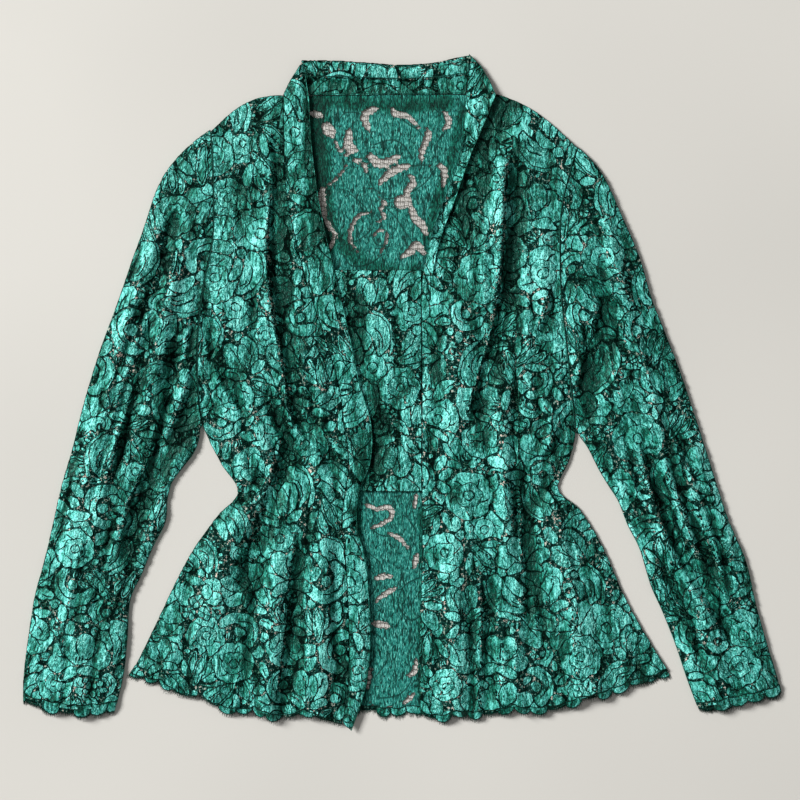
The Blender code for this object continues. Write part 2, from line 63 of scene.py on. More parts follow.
cameraData = bpy.data.cameras.new("overheadCamera")
cameraData.lens = view["lens"]
cameraData.sensor_width = view["sensor"]
camera = bpy.data.objects.new("overheadCamera", cameraData)
camera.location = view["place"]
bpy.context.scene.collection.objects.link(camera)
bpy.context.scene.camera = camera
bpy.context.scene.view_settings.view_transform = "Standard"
print("camera is up")

# Cloth: the layers lie at the same heights as the solids' walls
wall = 0.7
solidWall = 1.2
backLevel = solidWall / 2
panelLevel = backLevel + solidWall + 0.3
overlapLevel = panelLevel + solidWall + 0.9
sleeveTopLevel = backLevel + 3.2
sleeveRoll = 2.4
seamShift = 0.45
armholeRows = 10
sideRows = 14
hemRow = armholeRows + sideRows
borderRow = hemRow - 0.24        # the cloth stops here and the scalloped border takes over

frontRow = namedtuple("frontRow", "name outerX outerY seamX seamY edgeX edgeY")
sleeveRow = namedtuple("sleeveRow", "name outerX outerY innerX innerY")
bandRow = namedtuple("bandRow", "name seamX seamY edgeX edgeY")
panelRow = namedtuple("panelRow", "name leftX rightX y")
fold = namedtuple("fold", "fromX fromY toX toY halfWidth height")
trough = namedtuple("trough", "halfWidth depth points")
lobe = namedtuple("lobe", "start end startDrop endDrop depth")
standRow = namedtuple("standRow", "share level")


def tableOf(kind, *rows):        # a table whose rows have their columns named
    return tuple(kind(*row) for row in rows)


# Right front: outer is the armhole and side seam, seam joins the front band, edge is the band's free edge.
rightFront = tableOf(
    frontRow,
    ("shoulder", -191, 262, -119, 298, -93, 294), ("yoke", -189, 234, -118, 254, -91, 254),
    ("upper chest", -188, 194, -116, 204, -85, 204), ("chest", -189, 154, -108, 162, -77, 162),
    ("neck point", -198, 109, -96, 114, -66, 114), ("bust", -204, 59, -80, 64, -54, 64),
    ("under bust", -204, 9, -64, 12, -43, 12), ("underarm", -199, -30, -58, -31, -31, -31),
    ("midriff", -182, -67, -53, -68, -32, -68), ("waist", -164, -98, -57, -98, -43, -98),
    ("high hip", -186, -124, -60, -126, -45, -132), ("hip", -214, -165, -56, -171, -36, -171),
    ("low hip", -244, -226, -53, -236, -32, -237), ("skirt", -263, -265, -54, -290, -36, -290),
    ("hem", -272, -279, -60, -325, -52, -339.5))

# Left front: its seam edge is the neckline, then the centre panel's seam, then the free edge.
leftFront = tableOf(
    frontRow,
    ("shoulder", 175, 245, 64, 297, 93, 298), ("yoke", 170, 229, 62, 272, 82, 270),
    ("upper chest", 161, 194, 58, 236, 68, 237), ("chest", 158, 164, 42, 194, 52, 192),
    ("neck point", 158, 126, 28, 154, 38, 154), ("bust", 160, 90, 20, 109, 29, 109),
    ("under bust", 164, 54, 20, 59, 29, 59), ("ribs", 169, 9, 20, 9, 29, 9),
    ("underarm", 173, -37, 20, -36, 29, -36), ("midriff", 167, -66, 20, -68, 29, -68),
    ("waist", 156, -95, 20, -98, 29, -98), ("high hip", 177, -115, 20, -124, 29, -124),
    ("hip", 200, -152, 20, -171, 29, -171), ("low hip", 224, -206, 18, -231, 27, -231),
    ("skirt", 249, -250, 17, -284, 26, -284), ("hem", 266, -277, 19, -316, 28, -316))

# The front bands run on past the shoulder to the corners of the stand collar.
rightBandTop = tableOf(
    bandRow,
    ("peak", -103, 326, -99, 332), ("collar", -112, 312, -96, 314))
leftBandTop = tableOf(
    bandRow,
    ("peak", 67, 339.5, 78, 328), ("collar", 66, 316, 87, 313))

rightSleeve = tableOf(
    sleeveRow,
    ("head", -212, 249, -201, -34), ("cap", -233, 226, -202, -37), ("cap side", -246, 202, -202, -41),
    ("bicep top", -258, 166, -203, -46), ("bicep", -271, 130, -205, -53), ("upper arm", -284, 92, -209, -61),
    ("above elbow", -299, 52, -215, -69), ("elbow top", -312, 12, -222, -78), ("elbow", -322, -24, -230, -90),
    ("below elbow", -330, -56, -234, -106), ("forearm top", -341, -94, -236, -128),
    ("forearm", -349, -130, -248, -152), ("mid forearm", -358, -168, -260, -181),
    ("low forearm", -367, -201, -271, -206), ("wrist top", -373, -239, -274, -246),
    ("wrist", -378, -278, -278, -282), ("cuff", -379, -306, -286, -315))

leftSleeve = tableOf(
    sleeveRow,
    ("head", 192, 231, 176, -40), ("cap", 204, 213, 177, -42), ("cap side", 218, 182, 179, -45),
    ("bicep top", 237, 138, 182, -49), ("bicep", 249, 97, 186, -55), ("upper arm", 264, 59, 191, -65),
    ("above elbow", 279, 20, 197, -77), ("elbow top", 292, -19, 206, -92), ("elbow", 303, -53, 216, -108),
    ("below elbow", 315, -91, 225, -131), ("forearm top", 327, -127, 237, -155),
    ("forearm", 344, -167, 248, -191), ("mid forearm", 353, -206, 260, -218),
    ("low forearm", 361, -236, 273, -251), ("wrist", 371, -269, 284, -284), ("cuff", 379.5, -297, 296, -316))

# Centre panel that joins the fronts from bust to waist; its left side runs under the right front.
centrePanel = tableOf(
    panelRow,
    ("top", -92, 19.5, 124), ("bust", -78, 19.5, 64), ("under bust", -64, 19.5, 12), ("midriff", -57, 19.5, -31),
    ("waist", -54, 19.5, -97))

rightFrontFolds = tableOf(
    fold,
    (-127, 292, -109, 60, 10, -4.5), (-143, 180, -132, 50, 13, 3.5), (-170, 200, -178, 40, 18, 2.5),
    (-140, 10, -96, -85, 10, -4.5), (-158, 0, -122, -96, 13, 4.5), (-98, 20, -66, -90, 9, -3.5),
    (-84, -95, -80, 30, 10, 3.0), (-127, -84, -152, -235, 10, -5.5), (-150, -100, -204, -250, 16, 4.5),
    (-98, -130, -122, -345, 9, -6.0), (-120, -140, -137, -350, 14, 5.5), (-78, -110, -84, -350, 17, 5.5),
    (-170, -108, -242, -290, 12, 3.5), (-176, -190, -190, -330, 13, 3.0))

leftFrontFolds = tableOf(
    fold,
    (78, 262, 55, 180, 11, -4.0), (99, 262, 98, 80, 12, 4.5), (110, 195, 104, 40, 9, -5.5),
    (138, 180, 147, 50, 14, 4.5), (156, 70, 160, -20, 9, 3.0), (50, 110, 54, -70, 16, 3.0),
    (78, 90, 84, -60, 9, -3.0), (98, 20, 106, -190, 13, 5.5), (124, -60, 129, -240, 10, -6.0),
    (150, -90, 196, -340, 19, 4.5), (88, -180, 84, -340, 9, -4.5), (50, -110, 53, -345, 19, 4.5),
    (112, -220, 118, -350, 12, 4.0), (196, -150, 236, -300, 12, 3.0))

rightSleeveFolds = tableOf(
    fold,
    (-224, 190, -262, 56, 9, -4.5), (-240, 192, -286, 26, 12, 4.0), (-213, 170, -254, -10, 13, 4.5),
    (-222, 60, -250, -86, 10, -5.5), (-246, -66, -276, -176, 9, -5.0), (-280, -36, -314, -160, 14, 5.0),
    (-218, -44, -250, -170, 8, 3.5), (-268, -20, -300, -120, 8, -3.5), (-298, 0, -338, -190, 12, 3.5),
    (-316, -215, -330, -330, 22, 2.5))

leftSleeveFolds = tableOf(
    fold,
    (186, 76, 182, -26, 8, -4.5), (200, 196, 228, 50, 14, 4.5), (188, 116, 230, 30, 8, -4.0),
    (238, 10, 292, -160, 14, 5.0), (256, -40, 320, -206, 8, -5.0), (284, -30, 338, -180, 12, 4.5),
    (216, -56, 264, -180, 10, 3.5), (316, -196, 336, -320, 8, -3.5), (298, -200, 314, -330, 12, 4.0))

# Round lobes of each front's hem: where each starts and ends across the front, and how far it drops
# at both ends and between them, below a line from corner to corner.
rightHem = tableOf(
    lobe,
    (0.00, 0.15, 0, 0, 2), (0.15, 0.33, 0, 7, 7), (0.33, 0.59, 7, 8, 8), (0.59, 0.82, 8, 0, 8),
    (0.82, 1.00, 0, 5, 2))
leftHem = tableOf(
    lobe,
    (0.00, 0.12, 0, 4, 3), (0.12, 0.36, 4, 15, 3), (0.36, 0.62, 15, 12, 7), (0.62, 0.86, 12, 8, 5),
    (0.86, 1.00, 8, 3, 6))
backBelly = 38.0
backLobeStart = 0.047
backLobeWidth = 0.08
backLobeDepth = 3.5
rightCuffBelly = 8.0
leftCuffBelly = 2.0

# Back neck: how far the top edge rises above a line between the two shoulder points
neckRight = 0.197
neckLeft = 0.773
neckRiseRight = 39.0
neckRiseLeft = 50.5
neckFadeRows = 6
leftNeckPlace = 0.72
leftNeckRise = 17.0
rightShoulderBow = 11.0
leftShoulderBow = 8.5

# Troughs where the gathered lace sinks between two folds; they also darken its colour there as painted shade
rightFrontTroughs = tableOf(
    trough,
    (12, 6.2, ((-117, 216), (-122, 154), (-119, 94), (-110, 44), (-100, -16), (-77, -51))),
    (11, 5.6, ((-106, -36), (-124, -96), (-140, -146), (-157, -200))),
    (11, 6.0, ((-101, -160), (-103, -206), (-106, -246), (-113, -306))),
    (8, 4.5, ((-164, -111), (-148, -92), (-134, -74))),
    (6, 3.4, ((-197, 114), (-190, 54), (-170, 4), (-140, -36))),
    (7, 3.0, ((-62, -250), (-58, -280), (-54, -310))), (7, 3.0, ((-202, -166), (-222, -226), (-242, -276))),
    (9, 5.0, ((-30, -26), (-34, -86), (-44, -130))))
leftFrontTroughs = tableOf(
    trough,
    (25, 7.6, ((107, 318), (94, 272), (80, 232), (64, 186), (48, 136))),
    (12, 6.4, ((117, 236), (113, 204), (110, 134), (101, 64), (88, 14), (72, -38))),
    (9, 5.2, ((184, 214), (172, 148), (158, 104), (143, 54))),
    (18, 7.2, ((213, 100), (205, 54), (191, 9), (174, -36), (150, -80))),
    (10, 5.4, ((142, -84), (131, -130), (130, -160), (143, -206), (146, -240))),
    (9, 5.0, ((86, -184), (89, -246), (89, -310))), (6, 3.8, ((26, -36), (34, -76), (44, -106))))
rightSleeveTroughs = tableOf(
    trough,
    (8, 4.8, ((-220, 189), (-242, 94), (-262, 4), (-284, -76))),
    (14, 6.6, ((-194, 44), (-198, 20), (-212, -26), (-237, -68), (-260, -116), (-273, -181))),
    (6, 3.4, ((-252, 64), (-282, -26), (-307, -106))), (8, 4.2, ((-187, 179), (-197, 104), (-210, 30))),
    (5, 3.0, ((-334, -236), (-333, -275), (-337, -312))))
leftSleeveTroughs = tableOf(
    trough,
    (11, 5.6, ((244, -36), (256, -85), (268, -125), (298, -186), (322, -222), (340, -256))),
    (7, 3.6, ((214, -58), (240, -120), (268, -180), (290, -222))),
    (8, 3.4, ((270, -26), (293, -71), (320, -146), (333, -206))),
    (18, 7.2, ((213, 100), (205, 54), (191, 9), (174, -36))), (9, 4.0, ((298, -246), (306, -272), (313, -296))))
centreTroughs = tableOf(
    trough,
    (14, 6.4, ((-54, 138), (-44, 74), (-29, 14), (-21, -26), (-25, -60), (-33, -100))),
    (6, 3.0, ((-2, 104), (-4, 14), (0, -76))), (6, 3.0, ((23, -46), (26, -66), (30, -86))))

# Small creases between the main folds: uneven in length, depth and spacing. Ridges are positive.
rightFrontCreases = tableOf(
    fold,
    (-112, 232, -100, 120, 5, -2.0), (-122, 200, -112, 96, 5, 1.8), (-158, 236, -164, 150, 7, -1.6),
    (-150, 130, -146, 40, 5, -2.2), (-176, 120, -184, 20, 6, 2.0), (-190, 90, -192, 0, 5, -1.8),
    (-126, 70, -112, -10, 5, 2.0), (-104, 60, -90, -40, 5, 2.2), (-172, 40, -150, -60, 5, -2.4),
    (-116, -20, -104, -92, 4, 2.0), (-182, -10, -152, -84, 6, 2.2), (-132, -40, -116, -94, 4, -2.2),
    (-72, -20, -64, -110, 5, -1.8), (-90, -104, -96, -200, 5, -2.2), (-106, -112, -112, -250, 4, 2.0),
    (-140, -104, -172, -220, 5, -2.6), (-160, -118, -190, -196, 5, 2.2), (-180, -130, -226, -262, 6, -2.4),
    (-66, -150, -66, -310, 5, -2.0), (-150, -220, -160, -330, 6, -2.6), (-200, -220, -222, -300, 6, 2.0),
    (-214, -180, -250, -280, 5, -1.6), (-166, -180, -176, -300, 5, 1.8), (-92, -220, -96, -340, 5, 2.4))
leftFrontCreases = tableOf(
    fold,
    (86, 250, 74, 150, 5, 2.0), (122, 236, 120, 130, 6, -2.0), (140, 220, 150, 120, 6, 1.8),
    (64, 190, 52, 110, 5, -1.8), (84, 170, 82, 70, 5, 2.0), (126, 140, 126, 30, 5, 2.0),
    (148, 110, 160, 20, 5, -2.0), (44, 90, 40, 0, 5, -1.8), (66, 70, 68, -30, 5, 2.0),
    (112, 60, 116, -30, 5, -1.8), (134, 20, 142, -60, 5, -2.4), (148, -10, 150, -84, 6, 2.4),
    (84, -40, 90, -130, 5, -2.2), (66, -70, 68, -180, 5, 2.2), (112, -80, 116, -170, 4, -2.2),
    (138, -96, 152, -200, 5, 2.4), (150, -84, 178, -190, 5, -2.6), (36, -140, 36, -300, 6, -2.0),
    (70, -200, 72, -330, 5, -2.2), (100, -210, 102, -320, 5, 2.0), (136, -190, 148, -330, 6, -2.4),
    (166, -200, 180, -320, 5, 2.2), (188, -140, 222, -270, 6, -2.4), (216, -180, 246, -270, 5, 1.8))
rightSleeveCreases = tableOf(
    fold,
    (-236, 216, -262, 120, 6, -2.0), (-222, 150, -238, 60, 5, 2.0), (-250, 140, -280, 20, 5, -2.0),
    (-268, 100, -300, -30, 5, 2.0), (-232, 20, -252, -70, 5, 2.2), (-262, 10, -290, -90, 5, -2.4),
    (-290, 30, -318, -80, 5, -2.0), (-236, -86, -262, -190, 5, 2.4), (-262, -110, -288, -220, 5, 2.2),
    (-286, -120, -310, -230, 5, -2.6), (-310, -110, -338, -240, 5, 2.0), (-328, -80, -352, -200, 5, -2.0),
    (-276, -210, -292, -300, 6, 1.8), (-300, -230, -312, -310, 5, -2.0), (-346, -220, -360, -300, 6, -1.6))
leftSleeveCreases = tableOf(
    fold,
    (196, 180, 206, 80, 5, -2.0), (222, 170, 246, 60, 6, -2.0), (206, 60, 222, -40, 5, 2.0),
    (234, 60, 262, -50, 5, 2.2), (216, -10, 240, -110, 5, -2.4), (256, 40, 292, -70, 5, -2.2),
    (240, -70, 272, -180, 5, 2.4), (262, -90, 300, -210, 5, 2.0), (276, -70, 318, -190, 4, -2.4),
    (306, -60, 340, -180, 5, -2.0), (252, -150, 282, -240, 5, -2.2), (288, -200, 300, -300, 5, -2.0),
    (318, -210, 334, -300, 5, 2.0), (340, -190, 362, -290, 6, 1.8))


def softStep(value):
    value = np.clip(value, 0.0, 1.0)
    return value * value * (3.0 - 2.0 * value)


def hump(value):        # a round hump over 0 to 1
    return np.sin(pi * np.clip(value, 0.0, 1.0)).clip(0.0) ** 0.7


def bow(value):
    return np.sin(pi * np.clip(value, 0.0, 1.0)).clip(0.0)


def curveThrough(values, places):        # the smooth curve through values, places counted in steps
    values = np.asarray(values, float)
    places = np.asarray(places, float)
    last = len(values) - 1
    step = np.clip(places.astype(int), 0, last - 1)
    part = places - step
    before, start = values[np.maximum(step - 1, 0)], values[step]
    end, after = values[step + 1], values[np.minimum(step + 2, last)]
    rest = 1.0 - part
    return (start * (1.0 + 2.0 * part) * rest * rest + (end - before) / 2.0 * part * rest * rest
            + end * (3.0 - 2.0 * part) * part * part - (after - start) / 2.0 * rest * part * part)


def column(table, name):
    return [getattr(row, name) for row in table]


def frontSteps(table, rows):        # places in a front's table for its rows
    underarm = column(table, "name").index("underarm")
    last = len(table) - 1
    above = underarm * rows / armholeRows
    below = underarm + (last - underarm) * (rows - armholeRows) / sideRows
    return np.where(rows < armholeRows, above, below)


def readLine(table, steps, line):
    return np.stack([curveThrough(column(table, line + axis), steps) for axis in "XY"], -1)


def foldHeight(folds, x, y):        # how far the folds lift or lower the cloth
    height = np.zeros(np.broadcast(x, y).shape)
    for one in folds:
        runX, runY = one.toX - one.fromX, one.toY - one.fromY
        length = np.hypot(runX, runY)
        along = ((x - one.fromX) * runX + (y - one.fromY) * runY) / length**2
        across = ((x - one.fromX) * runY - (y - one.fromY) * runX) / length
        inside = (along > 0.0) & (along < 1.0) & (abs(across) < one.halfWidth)
        ends = softStep(along / 0.2) * softStep((1.0 - along) / 0.2)
        height += np.where(inside, one.height * ends * np.cos(pi * across / (2.0 * one.halfWidth)) ** 2, 0.0)
    return height


def curveLine(points, parts):        # the curve through points, each stretch of it cut into equal parts
    path = np.array(points, float)
    steps = np.linspace(0.0, len(path) - 1.0, parts * (len(path) - 1) + 1)
    return np.stack([curveThrough(path[:, axis], steps) for axis in range(2)], -1)


def pathDistance(points, x, y):        # distance to a curve, above 0 on its left hand, and the share along it
    line = curveLine(points, 4)
    best = np.full(np.broadcast(x, y).shape, 1e6)
    along = np.zeros(best.shape)
    for place, (a, b) in enumerate(zip(line, line[1:])):
        run = b - a
        share = np.clip(((x - a[0]) * run[0] + (y - a[1]) * run[1]) / (run @ run), 0.0, 1.0)
        gap = np.hypot(x - a[0] - run[0] * share, y - a[1] - run[1] * share)
        nearer = gap < abs(best)
        along = np.where(nearer, (place + share) / (len(line) - 1.0), along)
        side = np.where(run[0] * (y - a[1]) - run[1] * (x - a[0]) > 0.0, 1.0, -1.0)
        best = np.where(nearer, gap * side, best)
    return best, along


def troughShape(troughs, x, y):
    # how far the troughs sink the cloth, steep on one side and slow on the other, and the lip over the steep side
    sunk = np.zeros(np.broadcast(x, y).shape)
    lip = np.zeros(sunk.shape)
    for one in troughs:
        gap, along = pathDistance(one.points, x, y)
        ends = one.depth * softStep(along / 0.14) * softStep((1.0 - along) / 0.14)
        share = gap / one.halfWidth
        sunk = np.maximum(sunk, ends * softStep((1.0 + share) / 0.5) * softStep((1.1 - share) / 1.2))
        lip = np.maximum(lip, ends / 6.0 * bow(-(gap + 0.9 * one.halfWidth) / 5.0) ** 0.7)
    return sunk, lip


def relief(panel, x, y):        # how far a panel's folds, creases and troughs lift or lower it
    lifted = foldHeight(panel["folds"], x, y) + foldHeight(panel["creases"], x, y)
    sunk, lip = troughShape(panel["troughs"], x, y)
    return reliefGain * lifted - sunk + 1.3 * lip


def softNoise(x, y, seed):        # smooth random heights from 0 to 1, one cell to a unit
    lattice = np.random.RandomState(seed).rand(128, 128)
    left, low = np.floor(x).astype(int), np.floor(y).astype(int)
    u, v = softStep(x - left), softStep(y - low)
    corner = lambda i, j: lattice[(left + i) % 128, (low + j) % 128]
    bottom = corner(0, 0) * (1 - u) + corner(1, 0) * u
    top = corner(0, 1) * (1 - u) + corner(1, 1) * u
    return bottom * (1 - v) + top * v


reliefGain = 1.15        # the cloth's own folds stand a little prouder than the solids'
basePuff = 5.2
crinkle = dict(across=4.6, along=30.0, height=1.15, fineAcross=2.7, fineAlong=12.0, fineHeight=0.6)


def crinkleHeight(x, y, seed):        # the fine lengthwise crinkle of worn lace
    drift = 14.0 * softNoise(x / 60.0, y / 45.0, seed + 5)
    broad = softNoise((x + drift) / crinkle["across"], y / crinkle["along"], seed)
    fine = softNoise((x + drift) / crinkle["fineAcross"], y / crinkle["fineAlong"], seed + 1)
    return crinkle["height"] * (broad - 0.35) + crinkle["fineHeight"] * (fine - 0.5)


def hemDrop(lobes, across):
    drop = np.zeros_like(across)
    for one in lobes:
        share = (across - one.start) / (one.end - one.start)
        inside = (across >= one.start) & (across <= one.end)
        here = one.startDrop + (one.endDrop - one.startDrop) * share + one.depth * hump(share)
        drop = np.where(inside, here, drop)
    return drop


def backDrop(across):
    place = (across - backLobeStart) / backLobeWidth % 1.0
    return backBelly * np.sin(pi * across) + backLobeDepth * hump(place) * softStep(across / 0.1)


def hemShare(rows):        # how much of the hem's drop a row takes
    hipRow = armholeRows + sideRows / 3.0
    return np.maximum(0.0, (rows - hipRow) / (hemRow - hipRow)) ** 2


def armholeLift(rows):        # height of the armhole seam above the side seam's level
    return (sleeveTopLevel - panelLevel) * softStep((armholeRows - rows) / 2.0) + 2.0 * hump(rows / armholeRows)


def rightShoulder(across):
    return rightShoulderBow * bow(across)


def leftShoulder(across):
    rise = leftNeckRise * np.minimum(across / leftNeckPlace, (1.0 - across) / (1.0 - leftNeckPlace))
    return rise + leftShoulderBow * bow(across / leftNeckPlace)


def frontGrid(front, rows, across):        # points of a front, rows from shoulder to hem, outer edge to seam
    steps = frontSteps(front["table"], rows)
    outer = readLine(front["table"], steps, "outer")[:, None, :]
    seam = readLine(front["table"], steps, "seam")[:, None, :]
    row, share = rows[:, None], across[None, :]
    plan = outer + (seam - outer) * share[..., None]
    x = plan[..., 0]
    y = plan[..., 1] + front["shoulder"](share) * np.maximum(0.0, 1.0 - row / 4.0) ** 2
    y = y - hemDrop(front["hem"], share) * hemShare(row)
    inside = softStep(share / 0.16)
    lap = (front["lapLevel"] - panelLevel) * softStep((share - 0.62) / 0.24)
    puff = basePuff * hump(0.06 + 0.88 * share) * inside * softStep(row / 2.0)
    level = panelLevel + armholeLift(row) * (1.0 - inside)
    lifted = level + puff + lap + relief(front, x, y) * inside * softStep(row / 2.0)
    z = np.maximum(lifted, np.maximum(panelLevel + lap, level * (1.0 - inside)))
    z = z + crinkleHeight(x, y, front["seed"]).clip(-0.15) * softStep(share / 0.05)
    return np.stack([x, y, z + 0.0 * share], -1)


def backGrid(right, left, rows, across):        # the back shares its side and shoulder seams with both fronts
    rightEdge = frontGrid(right, rows, np.array([0.0]))[:, 0, :2]
    leftEdge = frontGrid(left, rows, np.array([0.0]))[:, 0, :2]
    plan = rightEdge[:, None, :] + (leftEdge - rightEdge)[:, None, :] * across[None, :, None]
    row, share = rows[:, None], across[None, :]
    fade = np.maximum(0.0, 1.0 - row / neckFadeRows) ** 2
    along = np.clip((share - neckRight) / (neckLeft - neckRight), 0.0, 1.0)
    neck = neckRiseRight + (neckRiseLeft - neckRiseRight) * along
    slope = np.minimum(1.0, np.minimum(share / neckRight, (1.0 - share) / (1.0 - neckLeft)))
    y = plan[..., 1] + neck * slope * fade
    y = y + rightShoulderBow * bow(share / neckRight) * fade
    y = y + leftShoulderBow * bow((1.0 - share) / (1.0 - neckLeft)) * fade
    y = y - backDrop(share) * hemShare(row)
    x = plan[..., 0] + 0.0 * y
    return np.stack([x, y, np.full_like(y, backLevel)], -1)


def centreGrid(rows, across):
    step = (len(centrePanel) - 1) * rows[:, None]
    left, right = (curveThrough(column(centrePanel, name), step) for name in ("leftX", "rightX"))
    share = across[None, :]
    x = left + (right - left) * share
    y = curveThrough(column(centrePanel, "y"), step) + 0.0 * share
    ripple = 0.3 * (1.0 - np.cos(6.0 * pi * share)) * hump(rows[:, None])
    valley = 0.5 * troughShape(centreTroughs, x, y)[0] * softStep((1.0 - share) / 0.1)
    z = panelLevel + (ripple + 1.2 * hump(share) - valley).clip(0.0) + crinkleHeight(x, y, 31).clip(-0.1) * 0.6
    return np.stack([x, y, z], -1)


def readRow(points, x):        # the point of a row of points at this x
    order = np.argsort(points[:, 0])
    ordered = points[order]
    return np.array([np.interp(x, ordered[:, 0], ordered[:, axis]) for axis in range(3)])


def bandPlan(tops, seam, edge):        # x and y of a band's seam and edge, from the collar's corner down
    corners = [row[1:] for row in tops] + [(*seam[0, :2], *edge[0])]
    shares = np.linspace(0.0, 1.0, 12, endpoint=False)[:, None]
    above = [np.array(a) + (np.array(b) - np.array(a)) * shares for a, b in zip(corners, corners[1:])]
    return np.vstack(above + [np.column_stack([seam[:, :2], edge])])


def rightBandGrid(front, rows, shares):        # from the front's seam to the band's free edge
    edge = readLine(front["table"], frontSteps(front["table"], rows), "edge")
    seam = frontGrid(front, rows, np.array([1.0]))[:, 0]
    seam[:, 0] += seamShift
    plan = bandPlan(rightBandTop, seam, edge)
    flat = np.full(len(plan), overlapLevel)
    seamLevel = np.append(flat[: -len(seam)], seam[:, 2])
    seamLine, edgeLine = np.column_stack([plan[:, :2], seamLevel]), np.column_stack([plan[:, 2:], flat])
    points = seamLine[:, None, :] + (edgeLine - seamLine)[:, None, :] * shares[None, :, None]
    points[..., 2] += 1.6 * np.sin(pi * shares)[None, :]
    points[..., 2] += crinkleHeight(points[..., 0], points[..., 1], 37).clip(-0.1) * 0.7
    return points


def leftBandGrid(front, rows, shares):        # turned back over the front from the neckline
    lastRow = armholeRows * 5 // 8
    rows = rows[rows <= lastRow]
    edge = readLine(front["table"], frontSteps(front["table"], rows), "edge")
    roll = frontGrid(front, rows, np.array([1.0]))[:, 0]
    plan = bandPlan(leftBandTop, roll, edge)
    points = plan[:, None, :2] + (plan[:, 2:] - plan[:, :2])[:, None, :] * shares[None, :, None]
    lift = solidWall + 0.7
    z = np.full(points.shape[:2], panelLevel + lift)
    above = len(plan) - len(roll)
    under = frontGrid(front, rows, np.linspace(0.0, 1.0, 81))
    for place, row in enumerate(rows):
        heights = readRow(under[place], points[above + place, :, 0])[2]
        z[above + place] = heights + lift + 3.0 * shares * softStep(1.0 - row / lastRow)
    z[:above] += (z[above] - panelLevel - lift) * np.linspace(0.0, 1.0, above)[:, None] ** 2
    return np.concatenate([points, z[..., None]], -1)


stand = dict(seamX=(-92.4, 63.4), topX=(-100.4, 68.2), rises=(34.5, 34.2, 31.8, 29.4, 32.0, 38.6), sections=tableOf(
    standRow,
    (0.0, 1.5), (0.2, 1.2), (0.43, 1.6), (0.52, 4.2), (0.75, 5.2), (0.93, 3.6), (1.0, 1.2)))


def standGrid(back, sections, across):        # the stand collar from the back neck seam over its folded top
    places = sections * (len(stand["sections"]) - 1)
    share, level = (curveThrough(column(stand["sections"], name), places)[:, None] for name in ("share", "level"))
    place = across[None, :]
    seamX, topX = (start + (end - start) * place for start, end in (stand["seamX"], stand["topX"]))
    seamY = readRow(back, seamX[0])[1][None, :] + seamShift
    rise = curveThrough(stand["rises"], place * (len(stand["rises"]) - 1)) * share
    x, y = seamX + (topX - seamX) * share, seamY + rise
    z = level + 0.5 * (softNoise(x / 9.0, y / 5.0, 44) - 0.3) * bow(share)
    return np.stack([x, y, z], -1)


def sleeveGrid(sleeve, front, rings, underShares, upperShares):
    # rings of a flattened sleeve from armhole to cuff: under layer, inner turn, upper layer, outer turn
    armhole = frontGrid(front, np.linspace(0.0, armholeRows, 41), np.array([0.0]))[:, 0, :2]
    seam = armhole + np.array([sleeve["side"] * seamShift, 0.0])
    head, foot = seam[0], seam[-1]
    chord = foot - head
    seamShares = (seam - head) @ chord / (chord @ chord)
    bows = seam - (head + (foot - head) * seamShares[:, None])
    table = sleeve["table"]
    fadeRing = column(table, "name").index("elbow top")
    step = rings * len(table)
    sides = [[curveThrough([start[axis]] + column(table, line + "XY"[axis]), step) for axis in (0, 1)]
             for start, line in ((head, "outer"), (foot, "inner"))]
    outer, inner = (np.stack(side, -1) for side in sides)
    across = inner - outer
    across /= np.linalg.norm(across, axis=1)[:, None]
    inset = (sleeveRoll * softStep(step))[:, None]
    outer, inner = outer + across * inset, inner - across * inset
    curve = softStep(1.0 - step / fadeRing)
    end = np.maximum(0.0, (step - len(table) + 3.0) / 3.0) ** 2
    start = softStep(step / 1.5)[:, None]

    def layer(shares):
        offset = np.stack([np.interp(shares, seamShares, bows[:, axis]) for axis in range(2)], -1)
        plan = outer[:, None] + (inner - outer)[:, None] * shares[None, :, None]
        plan = plan + offset[None] * curve[:, None, None]
        plan[..., 1] -= sleeve["belly"] * hump(shares)[None] * end[:, None]
        return plan

    under, upper = layer(underShares), layer(upperShares)
    share = upperShares[None, :]
    puff = (2.0 + (basePuff - 2.0) * start) * hump(share)
    fade = softStep(share / 0.15) * softStep((1.0 - share) / 0.15)
    x, y = upper[..., 0], upper[..., 1]
    z = np.maximum(sleeveTopLevel + puff + relief(sleeve, x, y) * fade * start, backLevel + solidWall + 0.8)
    width = np.linalg.norm(inner - outer, axis=1)[:, None]
    z = z + crinkleHeight(share * width, step[:, None] * 26.0, sleeve["seed"]).clip(-0.2) * fade
    turnLevel, halfTurn = (backLevel + sleeveTopLevel) / 2.0, (sleeveTopLevel - backLevel) / 2.0
    tube = []
    for row in range(len(rings)):
        turn = across[row] * (sleeveRoll - solidWall / 2.0)
        parts = [np.column_stack([under[row], np.full(len(underShares), backLevel)])]
        for fromPlan, way, order in ((under[row, -1], 1.0, 1), (under[row, 0], -1.0, -1)):
            angles = np.linspace(-pi / 2, pi / 2, 7)[1:-1] * order
            ends = fromPlan[None] + way * turn[None] * np.cos(angles)[:, None]
            parts.append(np.column_stack([ends, turnLevel + halfTurn * np.sin(angles)]))
        top = np.column_stack([upper[row], z[row]])
        tube.append(np.vstack([parts[0], parts[1], top[::-1], parts[2]]))
    return np.array(tube)


def wire(tree, kind, inputs=None, **settings):        # one shader node, with its sockets set or linked
    node = tree.nodes.new(kind)
    for name, value in settings.items():
        setattr(node, name, value)
    for name, value in (inputs or {}).items():
        socket = node.inputs[name]
        if isinstance(value, bpy.types.NodeSocket):
            tree.links.new(value, socket)
        else:
            socket.default_value = value
    return node


def together(tree, kind, first, second, socket=1):        # two vectors or colours made into one
    return wire(tree, "ShaderNodeVectorMath", {0: first, socket: second}, operation=kind).outputs[0]


